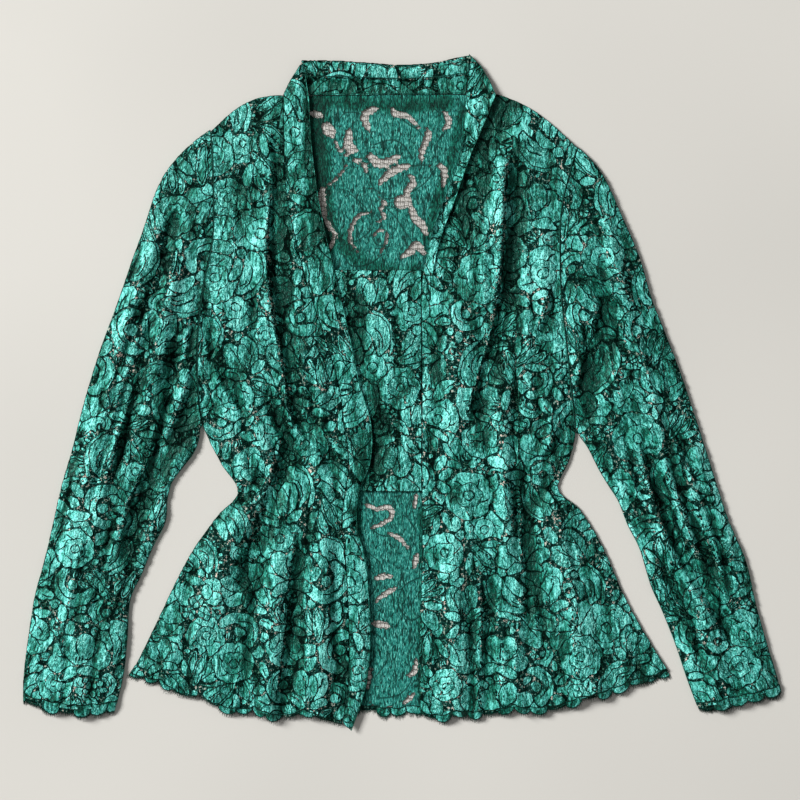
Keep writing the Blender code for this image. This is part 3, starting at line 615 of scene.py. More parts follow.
def clothPlace(tree, cells):        # the place on the cloth, in cells to a metre: across, along, up
    place = wire(tree, "ShaderNodeAttribute", attribute_name="clothPlace").outputs["Vector"]
    return together(tree, "MULTIPLY", place, cells)


def readOff(tree, name):        # a value that the mesh carries
    return wire(tree, "ShaderNodeAttribute", attribute_name=name).outputs["Fac"]


def noise(tree, cells, detail=2.0, roughness=0.5, distortion=0.0, read="Fac"):
    return wire(tree, "ShaderNodeTexNoise", {
        "Vector": clothPlace(tree, cells), "Scale": 1.0, "Detail": detail, "Roughness": roughness,
        "Distortion": distortion}).outputs[read]


def cellEdges(tree, place, randomness):        # distance to the edges of uneven cells
    return wire(tree, "ShaderNodeTexVoronoi", {"Vector": place, "Scale": 1.0, "Randomness": randomness},
                feature="DISTANCE_TO_EDGE").outputs["Distance"]


def maths(tree, kind, *values):
    return wire(tree, "ShaderNodeMath", dict(enumerate(values)), operation=kind).outputs[0]


def offMiddle(tree, value):        # how far a noise is from its middle, so that a thin line runs where it is 0
    return maths(tree, "ABSOLUTE", maths(tree, "SUBTRACT", value, 0.5))


def ramp(tree, factor, stops):        # a colour ramp, stops as (place, (red, green, blue))
    node = wire(tree, "ShaderNodeValToRGB", {"Fac": factor})
    elements = node.color_ramp.elements
    while len(elements) < len(stops):
        elements.new(0.5)
    for element, (place, colour) in zip(elements, stops):
        element.position = place
        element.color = (*colour, 1.0)
    return node.outputs["Color"]


def level(tree, value, low, high, toLow=0.0, toHigh=1.0):
    return wire(tree, "ShaderNodeMapRange", {"Value": value, "From Min": low, "From Max": high,
                                             "To Min": toLow, "To Max": toHigh}).outputs["Result"]


def blend(tree, factor, first, second):
    node = wire(tree, "ShaderNodeMix", data_type="RGBA", blend_type="MIX")
    for socket, value in ((node.inputs[0], factor), (node.inputs[6], first), (node.inputs[7], second)):
        if isinstance(value, bpy.types.NodeSocket):
            tree.links.new(value, socket)
        else:
            socket.default_value = (*value, 1.0) if isinstance(value, tuple) else value
    return node.outputs[2]


def bump(tree, height, strength, depth):
    return wire(tree, "ShaderNodeBump", {"Height": height, "Strength": strength, "Distance": depth}).outputs[0]


silkTint = (0.45, 1.0, 0.88, 1.0)        # the colour of the thread's shine


def newFinish(name, roughness, shine=0.5, sheen=0.0):        # an empty material with its shader and output
    material = bpy.data.materials.new(name)
    material.use_nodes = True
    tree = material.node_tree
    tree.nodes.clear()
    shader = wire(tree, "ShaderNodeBsdfPrincipled", {
        "Roughness": roughness, "Sheen Weight": sheen, "Specular IOR Level": shine, "Specular Tint": silkTint})
    wire(tree, "ShaderNodeOutputMaterial", {"Surface": shader.outputs[0]})
    return material, tree, shader


def plug(tree, shader, colour, normal, **others):
    for name, value in {"Base Color": colour, "Normal": normal, **others}.items():
        tree.links.new(value, shader.inputs[name])


# Painted shade and highlight, from the bottom of a crease, 0, to the top of a ridge, 1; the top tints pass 1 and
# lighten the colour
paintedShadeTints = (
    (0.0, (0.012, 0.100, 0.074)), (0.12, (0.050, 0.230, 0.180)), (0.28, (0.140, 0.380, 0.325)),
    (0.5, (0.480, 0.640, 0.620)), (0.8, (0.900, 0.935, 0.960)), (1.0, (1.420, 1.150, 1.180)))
# Painted shade of fine creases, soft hollows and broad gathers
crumple = dict(creases=(125.0, 40.0, 20.0), hollows=(143.75, 60.0, 70.0), gathers=(66.0, 13.0, 10.0),
               line=0.040, dark=0.50, patch=0.55, gather=0.34)


def crumpleShade(tree):        # painted shade of fine irregular creases and soft hollows in the lace, around 0; it also serves as a bump height
    line = offMiddle(tree, noise(tree, crumple["creases"], 2.0, 0.6, 0.9))
    hollow = noise(tree, crumple["hollows"], 3.0, 0.62, 0.4)
    gather = noise(tree, crumple["gathers"], 1.0, 0.5, 0.3)
    patch = level(tree, hollow, 0.30, 0.70, -crumple["patch"], crumple["patch"])
    broad = level(tree, gather, 0.32, 0.68, -crumple["gather"], crumple["gather"])
    dark = level(tree, line, 0.0, crumple["line"], crumple["dark"], 0.0)
    return maths(tree, "SUBTRACT", maths(tree, "ADD", patch, broad), dark)


def paintedShadeColour(tree, colour, strength=1.0, crumpled=1.0):        # painted shade: greener and darker in the creases, lighter on the ridges
    height = crumpleShade(tree)
    paintedShade = maths(tree, "MULTIPLY_ADD", height, crumpled, readOff(tree, "paintedShade"))
    tinted = together(tree, "MULTIPLY", colour, ramp(tree, paintedShade, paintedShadeTints))
    return together(tree, "SCALE", tinted, strength, "Scale"), height


silk = dict(streak=(480.0, 170.0, 60.0), patch=(60.0, 36.0, 60.0), glint=(930.0, 760.0, 60.0),
            shades=((0.590, (0.009, 0.128, 0.104)), (0.680, (0.030, 0.335, 0.282)), (0.785, (0.185, 0.800, 0.720))),
            bright=(0.235, 0.770, 0.680), dark=(0.004, 0.070, 0.052), toneShare=0.11, patchShare=0.30)


def silkFinish():        # the filled motifs: silky lengthwise floats of thread, with painted highlight specks, dark specks and painted crease shade
    material, tree, shader = newFinish("laceSilk", 0.42, 0.32)
    streak = noise(tree, silk["streak"], 2.0, 0.75, 0.6)
    toned = maths(tree, "MULTIPLY_ADD", readOff(tree, "tone"), silk["toneShare"], streak)
    patched = maths(tree, "MULTIPLY_ADD", noise(tree, silk["patch"]), silk["patchShare"], toned)
    colour = ramp(tree, patched, silk["shades"])
    glint = noise(tree, silk["glint"], 1.0, 0.7)
    # painted highlights: bright specks where the glint noise is high, dark specks where it is low
    colour = blend(tree, level(tree, glint, 0.56, 0.66, 0.0, 0.95), colour, silk["bright"])
    colour = blend(tree, level(tree, glint, 0.44, 0.34, 0.0, 0.95), colour, silk["dark"])
    colour, crumpled = paintedShadeColour(tree, colour)
    height = maths(tree, "MULTIPLY_ADD", crumpled, 0.9, streak)
    gloss = level(tree, streak, 0.35, 0.65, 0.62, 0.30)
    plug(tree, shader, colour, bump(tree, height, 0.8, 0.0014), Roughness=gloss)
    return material


cord = dict(name="laceCord", rough=0.7, shine=0.12, ply=1400.0, strength=0.4, depth=0.0003, shades=(
    (0.35, (0.0010, 0.0085, 0.0060)), (0.62, (0.0030, 0.0260, 0.0180)), (0.80, (0.0100, 0.0900, 0.0650))))
thread = dict(name="darkThread", rough=0.8, shine=0.1, ply=900.0, strength=0.3, depth=0.0002, shades=(
    (0.35, (0.0040, 0.0300, 0.0220)), (0.60, (0.0100, 0.0600, 0.0450)), (0.80, (0.0450, 0.1800, 0.1400))))


def pliedFinish(look):        # the cord round each motif, or sewing thread and lashes: twisted ply
    material, tree, shader = newFinish(look["name"], look["rough"], look["shine"])
    ply = noise(tree, (look["ply"],) * 3)
    plug(tree, shader, ramp(tree, ply, look["shades"]), bump(tree, ply, look["strength"], look["depth"]))
    return material


net = dict(
    cells=(540.0, 432.0, 0.0), thread=0.16, glint=(420.0, 300.0, 60.0), shadeBelow=(0.0010, 0.0100, 0.0075),
    shades=((0.36, (0.001, 0.010, 0.008)), (0.50, (0.005, 0.050, 0.040)), (0.58, (0.060, 0.240, 0.200)),
            (0.66, (0.480, 0.460, 0.390))))


def netFinish():        # the fine net behind the motifs: its holes are painted near black as the shaded layer below, its threads carry painted pale glints and painted crease shade
    material, tree, shader = newFinish("laceNet", 0.8, 0.08)
    edge = cellEdges(tree, clothPlace(tree, net["cells"]), 0.55)
    shown = level(tree, edge, net["thread"] * 0.6, net["thread"], 1.0, 0.0)
    # painted pale glints on the net's threads
    lit = ramp(tree, noise(tree, net["glint"], 1.0), net["shades"])
    plug(tree, shader, paintedShadeColour(tree, blend(tree, shown, net["shadeBelow"], lit))[0], bump(tree, shown, 0.6, 0.0004))
    return material


underside = dict(
    drift=(55.0, 55.0, 0.0), leaves=(62.0, 44.0, 0.0), streak=(700.0, 120.0, 0.0), cord=(0.003, 0.030, 0.024),
    shades=((0.34, (0.006, 0.085, 0.066)), (0.55, (0.018, 0.215, 0.165)), (0.72, (0.045, 0.330, 0.265))))


def undersideFinish():        # the wrong side and hidden faces: flat motifs with faint cords between them
    material, tree, shader = newFinish("laceUnderside", 0.6, sheen=0.1)
    drift = noise(tree, underside["drift"], read="Color")
    moved = together(tree, "ADD", clothPlace(tree, underside["leaves"]), drift)
    gap = level(tree, cellEdges(tree, moved, 0.9), 0.035, 0.075, 1.0, 0.0)
    body = ramp(tree, noise(tree, underside["streak"]), underside["shades"])
    height = level(tree, gap, 0.0, 1.0, 1.0, 0.0)
    plug(tree, shader, blend(tree, gap, body, underside["cord"]), bump(tree, height, 0.5, 0.0006))
    return material


inside = dict(
    ribs=(880.0, 210.0, 0.0), lines=(225.0, 46.0, 0.0), ragged=(300.0, 260.0, 0.0), netCells=(240.0, 211.2, 0.0),
    netThread=0.045, netColour=(0.060, 0.046, 0.038), line=(0.001, 0.016, 0.013), rim=(0.008, 0.085, 0.070),
    outline=(0.002, 0.030, 0.024), raggedBy=0.0052, raggedMiddle=0.0030, shades=(
        (0.36, (0.001, 0.022, 0.018)), (0.45, (0.012, 0.135, 0.118)), (0.55, (0.034, 0.280, 0.236)),
        (0.65, (0.175, 0.590, 0.515))))


def insideFinish(name, netShown=1.0):        # the back's inside, with open net between its flat scrolls, darkened by painted shadows and painted crease shade
    material, tree, shader = newFinish(name, 0.58, 0.2)
    ribs = noise(tree, inside["ribs"], 2.0, 0.75, 0.5)
    line = offMiddle(tree, noise(tree, inside["lines"], 1.0, 0.5, 0.3))
    body = ramp(tree, ribs, inside["shades"])
    body = blend(tree, level(tree, line, 0.012, 0.040, 0.9, 0.0), body, inside["line"])
    ragged = noise(tree, inside["ragged"])
    window = maths(tree, "MULTIPLY_ADD", ragged, inside["raggedBy"], readOff(tree, "netWindow"))
    window = maths(tree, "SUBTRACT", window, inside["raggedMiddle"])
    rim = level(tree, maths(tree, "ABSOLUTE", window), 0.0003, 0.0010, 0.8, 0.0)
    body = blend(tree, rim, body, inside["rim"])
    outline = level(tree, maths(tree, "ABSOLUTE", readOff(tree, "scrollLine")), 0.0004, 0.0011, 0.85, 0.0)
    body = paintedShadeColour(tree, blend(tree, outline, body, inside["outline"]), 1.35, 0.25)[0]
    edge = cellEdges(tree, clothPlace(tree, inside["netCells"]), 0.35)
    shown = level(tree, edge, inside["netThread"], inside["netThread"] + 0.040, netShown, 0.0)
    solid = level(tree, window, -0.0002, 0.0002, 1.0, 0.0)
    plug(tree, shader, blend(tree, solid, inside["netColour"], body), bump(tree, ribs, 0.8, 0.0014),
         Alpha=maths(tree, "MAXIMUM", shown, solid))
    return material


finishes = dict(silk=silkFinish(), cord=pliedFinish(cord), net=netFinish(), under=undersideFinish(),
                inside=insideFinish("laceInside"), below=insideFinish("laceBelow", 0.0), thread=pliedFinish(thread))
print("finishes are mixed")


def ridgeShade(points, panel):        # painted shade and highlight from the folds: 0 in the deepest creases, 1 on the ridges, lighter over the troughs' lips
    x, y = points[:, 0], points[:, 1]
    lifted = foldHeight(panel["folds"], x, y) + foldHeight(panel["creases"], x, y)
    sunk, lip = troughShape(panel["troughs"], x, y)
    return (softStep(0.565 + lifted / 10.0) * (1.0 - 0.90 * (sunk / 6.0) ** 0.8) + 0.30 * lip).clip(0.0, 1.0)


def makePiece(name, points, faces, materials, finish=None, place=None, extra=None):
    # points in millimetres; faces as arrays of 3 or 4 corners; finish gives each face's material
    counts = np.concatenate([np.full(len(part), part.shape[1]) for part in faces])
    corners = np.concatenate([part.ravel() for part in faces])
    mesh = bpy.data.meshes.new(name)
    mesh.vertices.add(len(points))
    mesh.vertices.foreach_set("co", (np.asarray(points) * mm).astype(np.float32).ravel())
    mesh.loops.add(len(corners))
    mesh.loops.foreach_set("vertex_index", corners.astype(np.int32))
    mesh.polygons.add(len(counts))
    starts = np.concatenate([[0], np.cumsum(counts)[:-1]])
    mesh.polygons.foreach_set("loop_start", starts.astype(np.int32))
    mesh.polygons.foreach_set("loop_total", counts.astype(np.int32))
    if finish is not None:
        mesh.polygons.foreach_set("material_index", np.asarray(finish, np.int32))
    mesh.polygons.foreach_set("use_smooth", np.ones(len(counts), bool))
    mesh.update(calc_edges=True)
    mesh.validate()
    for material in materials:
        mesh.materials.append(finishes[material])
    place = points if place is None else place
    layer = mesh.attributes.new("clothPlace", "FLOAT_VECTOR", "POINT")
    layer.data.foreach_set("vector", (np.asarray(place) * mm).astype(np.float32).ravel())
    # painted shade 0.6 is the middle: neither darkened nor lightened
    usual = dict(paintedShade=np.full(len(points), 0.6), tone=np.full(len(points), 0.5))
    for key, values in {**usual, **(extra or {})}.items():
        mesh.attributes.new(key, "FLOAT", "POINT").data.foreach_set("value", np.asarray(values, np.float32))
    piece = bpy.data.objects.new(name, mesh)
    bpy.context.scene.collection.objects.link(piece)
    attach(piece, "root")
    return piece


def gridQuads(rows, columns, closed=False):
    wide = columns if closed else columns - 1
    row, place = np.meshgrid(np.arange(rows - 1), np.arange(wide), indexing="ij")
    following = (place + 1) % columns
    quads = [row * columns + place, row * columns + following,
             (row + 1) * columns + following, (row + 1) * columns + place]
    return np.stack(quads, -1).reshape(-1, 4)


def faceUp(points, quads):        # the quads turned so that most of them face up
    a, b, c = (points[quads[:, corner]] for corner in range(3))
    upward = np.cross(b - a, c - b)[:, 2]
    return quads if upward.sum() > 0.0 else quads[:, ::-1]


def thicken(piece, name, thickness, below):        # a wall whose lower face takes a later material of its list
    solidify = piece.modifiers.new(name, "SOLIDIFY")
    solidify.thickness = thickness * mm
    solidify.offset = 0.0
    solidify.material_offset = below
    solidify.material_offset_rim = 1


def clothShell(name, grid, materials=("net", "under"), thickness=wall, extra=None):
    # an open sheet of cloth through a grid of points
    rows, columns = grid.shape[:2]
    points = grid.reshape(-1, 3)
    quads = faceUp(points, gridQuads(rows, columns))
    piece = makePiece(name, points, [quads], materials, extra=extra)
    thicken(piece, "clothWall", thickness, 1)
    ground = BVHTree.FromPolygons([Vector(point) for point in points], quads.tolist())
    outline = np.vstack([grid[0], grid[1:, -1], grid[-1, -2::-1], grid[-2:0:-1, 0]])[:, :2]
    return dict(piece=piece, ground=ground, outline=outline, lift=thickness / 2)


# Lace motifs are groups of leaves, the ones behind first. They are set out on a fine raster of the cloth,
# front motifs first, and every silk field that still shows is then built with a cord round it.
leaf = namedtuple("leaf", "x y angle length width bend fullness skew veins lobes mode")


def petal(x, y, angle, length, width, bend=0.0, fullness=0.7, skew=1.0, veins=0, lobes=0, mode="leaf"):
    return leaf(x, y, angle, length, width, bend, fullness, skew, veins, lobes, mode)


def joined(parts):        # the leaves after the first melt into it
    return parts[:1] + [one._replace(mode="join") for one in parts[1:]]


def stroke(x, y, angle, length, bend=0.0, width=0.95):        # an open line over the leaves before it
    return petal(x, y, angle, length, width, bend, 0.25, mode="stroke")


def comb(x, y, angle, count=4, length=5.5):        # short strokes side by side
    places = [number - (count - 1) / 2.0 for number in range(count)]
    return [stroke(x - sin(angle) * 2.7 * place, y + cos(angle) * 2.7 * place, angle + 0.05 * place, length, 0.0,
                   1.25) for place in places]


def petalRing(count, near, far, width, fullness, turn, skew):
    middle = (near + far) / 2.0
    angles = [turn + 2.0 * pi * step / count for step in range(count)]
    return [petal(middle * cos(a), middle * sin(a), a, far - near, width, 0.0, fullness, skew) for a in angles]


def disc(x, y, size):
    return petal(x, y, 0.0, size, size, 0.0, 0.5)


def flower(x, y, turn=0.0, count=5):        # one small flower of round petals
    ring = petalRing(count, 0.8, 6.6, 6.2 if count > 4 else 7.0, 0.42, turn, 1.2)
    return [one._replace(x=one.x + x, y=one.y + y) for one in ring]


def lotus():        # a fan of long petals over a cup
    turns = (-1.3, -0.8, 0.8, 1.3, -0.35, 0.3)
    fan = [petal(17.0 * sin(a), 17.0 * cos(a) - 9.0, pi / 2 - a, 31.0 - 4.0 * abs(a), 17.5, -a * 0.35, 0.48, 1.3)
           for a in turns]
    body = joined(fan[:2]) + joined(fan[2:4]) + joined(fan[4:])
    lines = [stroke(14.0 * sin(a), 14.0 * cos(a) - 7.0, pi / 2 - a, 17.0, 0.7 * (-1) ** place)
             for place, a in enumerate((-1.05, -0.05, 1.0))]
    cup = [petal(s * 9.0, -13.5, pi / 2 - s * 1.9, 23.0, 10.0, -s * 1.1, 0.5) for s in (-1.0, 1.0)]
    return body + lines + cup + comb(0.0, -2.0, pi / 2, 3, 5.0)


def tulip():        # a half-open bud
    sides = joined([petal(s * 8.5, 6.0, pi / 2 - s * 0.22, 33.0, 19.0, s * 0.55, 0.44) for s in (-1.0, 1.0)])
    lines = [stroke(-6.0, 7.0, 1.9, 22.0, -0.9), stroke(11.5, 9.0, 1.3, 15.0, 0.8)]
    middle = [petal(2.5, 3.0, pi / 2 - 0.1, 27.0, 12.5, 0.5, 0.46, 1.15)]
    leaves = [petal(-13.0, -11.0, pi / 2 - 2.2, 24.0, 11.0, -1.0, 0.5, 1.0, 1, 3),
              petal(11.0, -12.0, pi / 2 + 2.0, 19.0, 9.5, 1.0, 0.5)]
    return sides + lines + middle + comb(2.0, -7.0, 1.6, 3, 5.0) + leaves


def rose():        # a full round blossom
    outer = joined(petalRing(7, 6.0, 23.5, 19.0, 0.42, 0.3, 1.35) + [disc(0.0, 0.0, 20.0)])
    lines = [stroke(15.0 * cos(a), 15.0 * sin(a), a + 0.5, 12.0, 1.1) for a in (0.3, 1.7, 2.9, 4.3, 5.4)]
    inner = joined(petalRing(5, 1.0, 12.5, 13.0, 0.42, 0.9, 1.3) + [disc(0.0, 0.0, 9.0)])
    curls = [stroke(4.6 * cos(a), 4.6 * sin(a), a + pi / 2, 9.0, 1.9) for a in (0.4, 2.4, 4.6)]
    return outer + lines + inner + curls


def peony():        # a blossom seen from its side, petals wrapped over each other
    back = [petal(12.0 * cos(a), 3.0 + 11.0 * sin(a), a, 20.0, 17.5, 0.4, 0.42, 1.2, 0, 3)
            for a in (1.57, 0.95, 2.2, 0.2, 2.9)]
    front = [petal(-6.0, -3.0, 2.2, 28.0, 19.0, -0.9, 0.44), petal(7.5, -4.5, 0.9, 25.0, 16.0, 0.9, 0.44)]
    lines = [stroke(-4.0, 9.0, 2.0, 19.0, 1.1), stroke(8.0, 11.0, 0.9, 15.0, -1.2),
             stroke(0.0, 3.0, 1.2, 10.0, 1.6)]
    leaves = [petal(s * 10.0, -18.0, pi / 2 + s * 1.7, 19.0, 8.5, s * 0.9, 0.5) for s in (-1.0, 1.0)]
    return (joined(back + [disc(0.0, 2.0, 22.0)]) + lines + front + [stroke(-8.0, -2.0, 2.3, 15.0, -1.1)]
            + comb(2.0, -13.0, 1.6, 4, 5.5) + leaves)


def paisley():        # a curved drop with a band and short bars along its outer side
    along = np.linspace(-0.62, 0.62, 7)
    rungs = [petal(-27.0 + 42.8 * cos(a), 42.8 * sin(a), a, 6.6, 2.4, 0.0, 0.3) for a in along]
    return rungs + [petal(10.8, 0.0, pi / 2, 52.0, 5.8, 1.55, 0.32),
                    petal(0.0, 0.0, pi / 2, 47.0, 19.5, 1.6, 0.48, 1.45),
                    stroke(0.5, -3.0, pi / 2, 27.0, 1.6), stroke(-4.0, -9.0, 1.2, 11.0, 1.3),
                    petal(-14.0, 1.0, pi / 2, 26.0, 10.0, 2.0, 0.5), disc(-15.5, 17.5, 9.5)]


def scroll():        # a thick curl round a dot
    return [petal(0.0, 0.0, pi / 2, 62.0, 12.0, 4.1, 0.35, 0.8), stroke(0.0, 3.0, pi / 2, 30.0, 2.2),
            disc(-12.0, 1.0, 10.0), petal(12.5, 13.0, 0.9, 18.0, 10.0, -0.6, 0.5, 1.0, 1, 3),
            petal(13.0, -11.0, -0.7, 17.0, 10.0, 0.6, 0.5)]


def wave():        # two leaves that lie together
    return joined([petal(-4.0, 2.0, 1.9, 29.0, 14.0, 0.9, 0.46), petal(6.0, -4.0, 1.2, 24.0, 13.0, -0.6, 0.46)]) + \
        [stroke(1.0, 1.0, 1.5, 18.0, 0.9)]


def berries():        # round seeds in a cluster
    spots = ((0, 0), (6.6, 1.5), (-6.4, 2.2), (3.4, 7.4), (-3.2, 7.6), (3.0, -6.8), (-4.4, -6.2), (9.6, -4.6),
             (10.0, 7.8), (-9.8, -3.8), (0.4, 13.6))
    return [disc(x, y, 5.6 + 0.9 * ((3 * place) % 4) / 3.0) for place, (x, y) in enumerate(spots)]


def hood():        # three long petals that hang from one point, each with a line inside its edge
    long = [petal(-7.4, 0.0, pi / 2 + 0.30, 34.0, 9.4, -0.75, 0.5, 1.0, -1),
            petal(7.6, -1.0, pi / 2 - 0.34, 32.0, 9.0, 0.8, 0.5, 1.0, -1),
            petal(0.4, -2.0, pi / 2, 35.0, 9.8, 0.15, 0.5, 1.1, -1)]
    sides = [petal(-15.0, -3.0, pi / 2 + 0.75, 24.0, 7.6, -0.6, 0.5),
             petal(15.0, -4.0, pi / 2 - 0.8, 23.0, 7.4, 0.6, 0.5)]
    return long + sides + comb(0.0, 17.0, pi / 2, 4, 5.5)


halfRing = (pi - 0.06) * 7.6
motifs = dict(
    lotus=lotus(), tulip=tulip(), rose=rose(), peony=peony(), paisley=paisley(), scroll=scroll(), wave=wave(),
    berries=berries(), hood=hood(),
    posy=flower(0.0, 7.0, 0.2, 4) + flower(7.6, -4.0, 0.7, 5) + flower(-7.2, -4.6, 1.1, 4),
    sprig=flower(0.0, 0.0, 0.3, 4),
    star=flower(0.0, 0.0, 0.9, 5) + [disc(9.0, 6.5, 6.0)],
    eyelet=[petal(7.6 * sin(a), -7.6 * cos(a), a, halfRing, 7.0, pi - 0.06, 0.12) for a in (0.0, pi)] + [
        disc(0.0, 0.0, 4.0)],
    button=[disc(0.0, 0.0, 14.5), stroke(0.0, -3.6, 0.0, 9.0, 2.4)],
    blade=[petal(0.0, 0.0, pi / 2, 22.0, 12.0, 0.5, 0.48, 0.9, 0, 3)],
    bud=[petal(0.0, 0.0, pi / 2, 10.5, 8.2, 0.3, 0.46, 0.9)],
    ladder=[petal(2.9 * spot, -abs(spot) * 0.5, pi / 2 - spot * 0.12, 8.4, 1.9, 0.0, 0.3)
            for spot in (-1.5, -0.5, 0.5, 1.5)])


def setMotif(kind, x, y, turn=0.0, size=1.0, mirror=False):        # the motif's leaves at a place on the cloth
    parts = []
    for one in motifs[kind]:
        lx, ly, angle, bend = one.x, one.y, one.angle, one.bend
        if mirror:
            lx, angle, bend = -lx, pi - angle, -bend
        parts.append(one._replace(
            x=x + size * (lx * cos(turn) - ly * sin(turn)), y=y + size * (lx * sin(turn) + ly * cos(turn)),
            angle=angle + turn, length=one.length * size, width=one.width * size, bend=bend))
    return parts


def leafPlaces(one, x, y):        # share along the leaf, offset from its middle line and half width there
    if abs(one.bend) < 0.02:
        along = (x - one.x) * cos(one.angle) + (y - one.y) * sin(one.angle)
        t = along / one.length + 0.5
        offset = (y - one.y) * cos(one.angle) - (x - one.x) * sin(one.angle)
    else:
        radius = one.length / one.bend
        wx, wy = x - one.x + radius * sin(one.angle), y - one.y - radius * cos(one.angle)
        side = 1.0 if radius > 0.0 else -1.0
        heading = np.arctan2(wx * side, -wy * side) - one.angle
        t = 0.5 + ((heading + pi) % (2.0 * pi) - pi) / one.bend
        offset = radius - side * np.hypot(wx, wy)
    inner = t.clip(0.0, 1.0)
    half = one.width / 2.0 * np.sin(pi * inner**one.skew).clip(0.0) ** one.fullness
    if one.lobes:
        half = half * (0.86 + 0.20 * abs(np.sin(pi * one.lobes * inner)))
    return t, offset, half


def leafDepth(one, x, y):        # how far inside the leaf a place lies, below 0 outside
    t, offset, half = leafPlaces(one, x, y)
    beyond = np.maximum(-t, t - 1.0) * one.length
    return np.where(beyond > 0.0, -np.hypot(beyond.clip(0.0), offset), half - abs(offset))


def leafVein(one, x, y):        # the thin open line that runs up a leaf
    t, offset, half = leafPlaces(one, x, y)
    wave = (0.08 + 0.16 * np.sin(5.0 * t)) * half
    return (abs(offset - wave) < packing["vein"]) & (t > 0.10) & (t < 0.62) & (half > 2.4)


def insideRows(outline, cellX, cellY):        # the raster's cells inside an outline
    odd = np.zeros((len(cellX), len(cellY)), bool)
    for (ax, ay), (bx, by) in zip(outline, np.roll(outline, -1, 0)):
        rows = np.flatnonzero((ay > cellY) != (by > cellY))
        if len(rows):
            across = (bx - ax) * (cellY[rows] - ay) / (by - ay) + ax
            odd[:, rows] ^= cellX[:, None] < across[None, :]
    return odd


def clearance(taken, most):        # cells to the nearest taken cell, by rows and then across them
    steps = np.arange(taken.shape[1])[None, :]
    before = np.maximum.accumulate(np.where(taken, steps, -999), 1)
    after = np.minimum.accumulate(np.where(taken, steps, 9999)[:, ::-1], 1)[:, ::-1]
    run = np.minimum(steps - before, after - steps).astype(np.float32) ** 2
    best = run.copy()
    for shift in range(1, most):
        best[shift:] = np.minimum(best[shift:], run[:-shift] + shift**2)
        best[:-shift] = np.minimum(best[:-shift], run[shift:] + shift**2)
    return np.sqrt(best)


packing = dict(cell=0.5, line=0.62, vein=0.46, warp=1.3, quiver=1.5, stages=(
    dict(kinds=("rose", "hood", "scroll", "tulip", "paisley", "hood", "peony", "paisley", "rose", "scroll", "lotus",
                "paisley"), room=10.0, tries=500, share=0.72, sizes=(0.85, 1.22), gap=1.8),
    dict(kinds=("peony", "tulip", "paisley", "hood", "wave", "scroll", "posy"), room=7.0, tries=900, share=0.66,
         sizes=(0.62, 0.9), gap=1.7),
    dict(kinds=("blade", "posy", "wave", "eyelet", "blade", "posy", "ladder"), room=4.8, tries=1600, share=0.66,
         sizes=(0.7, 0.95), gap=1.5),
    dict(kinds=("star", "sprig", "blade", "button", "bud"), room=3.4, tries=1700, share=0.66, sizes=(0.75, 1.05),
         gap=1.4),
    dict(kinds=("bud", "sprig", "ladder", "ladder"), room=2.4, tries=1300, share=0.7, sizes=(0.55, 0.85), gap=1.2)))


def rasterCells(points, low, cell, size):        # the raster's cells at points of the cloth
    spots = ((points - low) / cell).round().astype(int)
    return spots[..., 0].clip(0, size[0] - 1), spots[..., 1].clip(0, size[1] - 1)


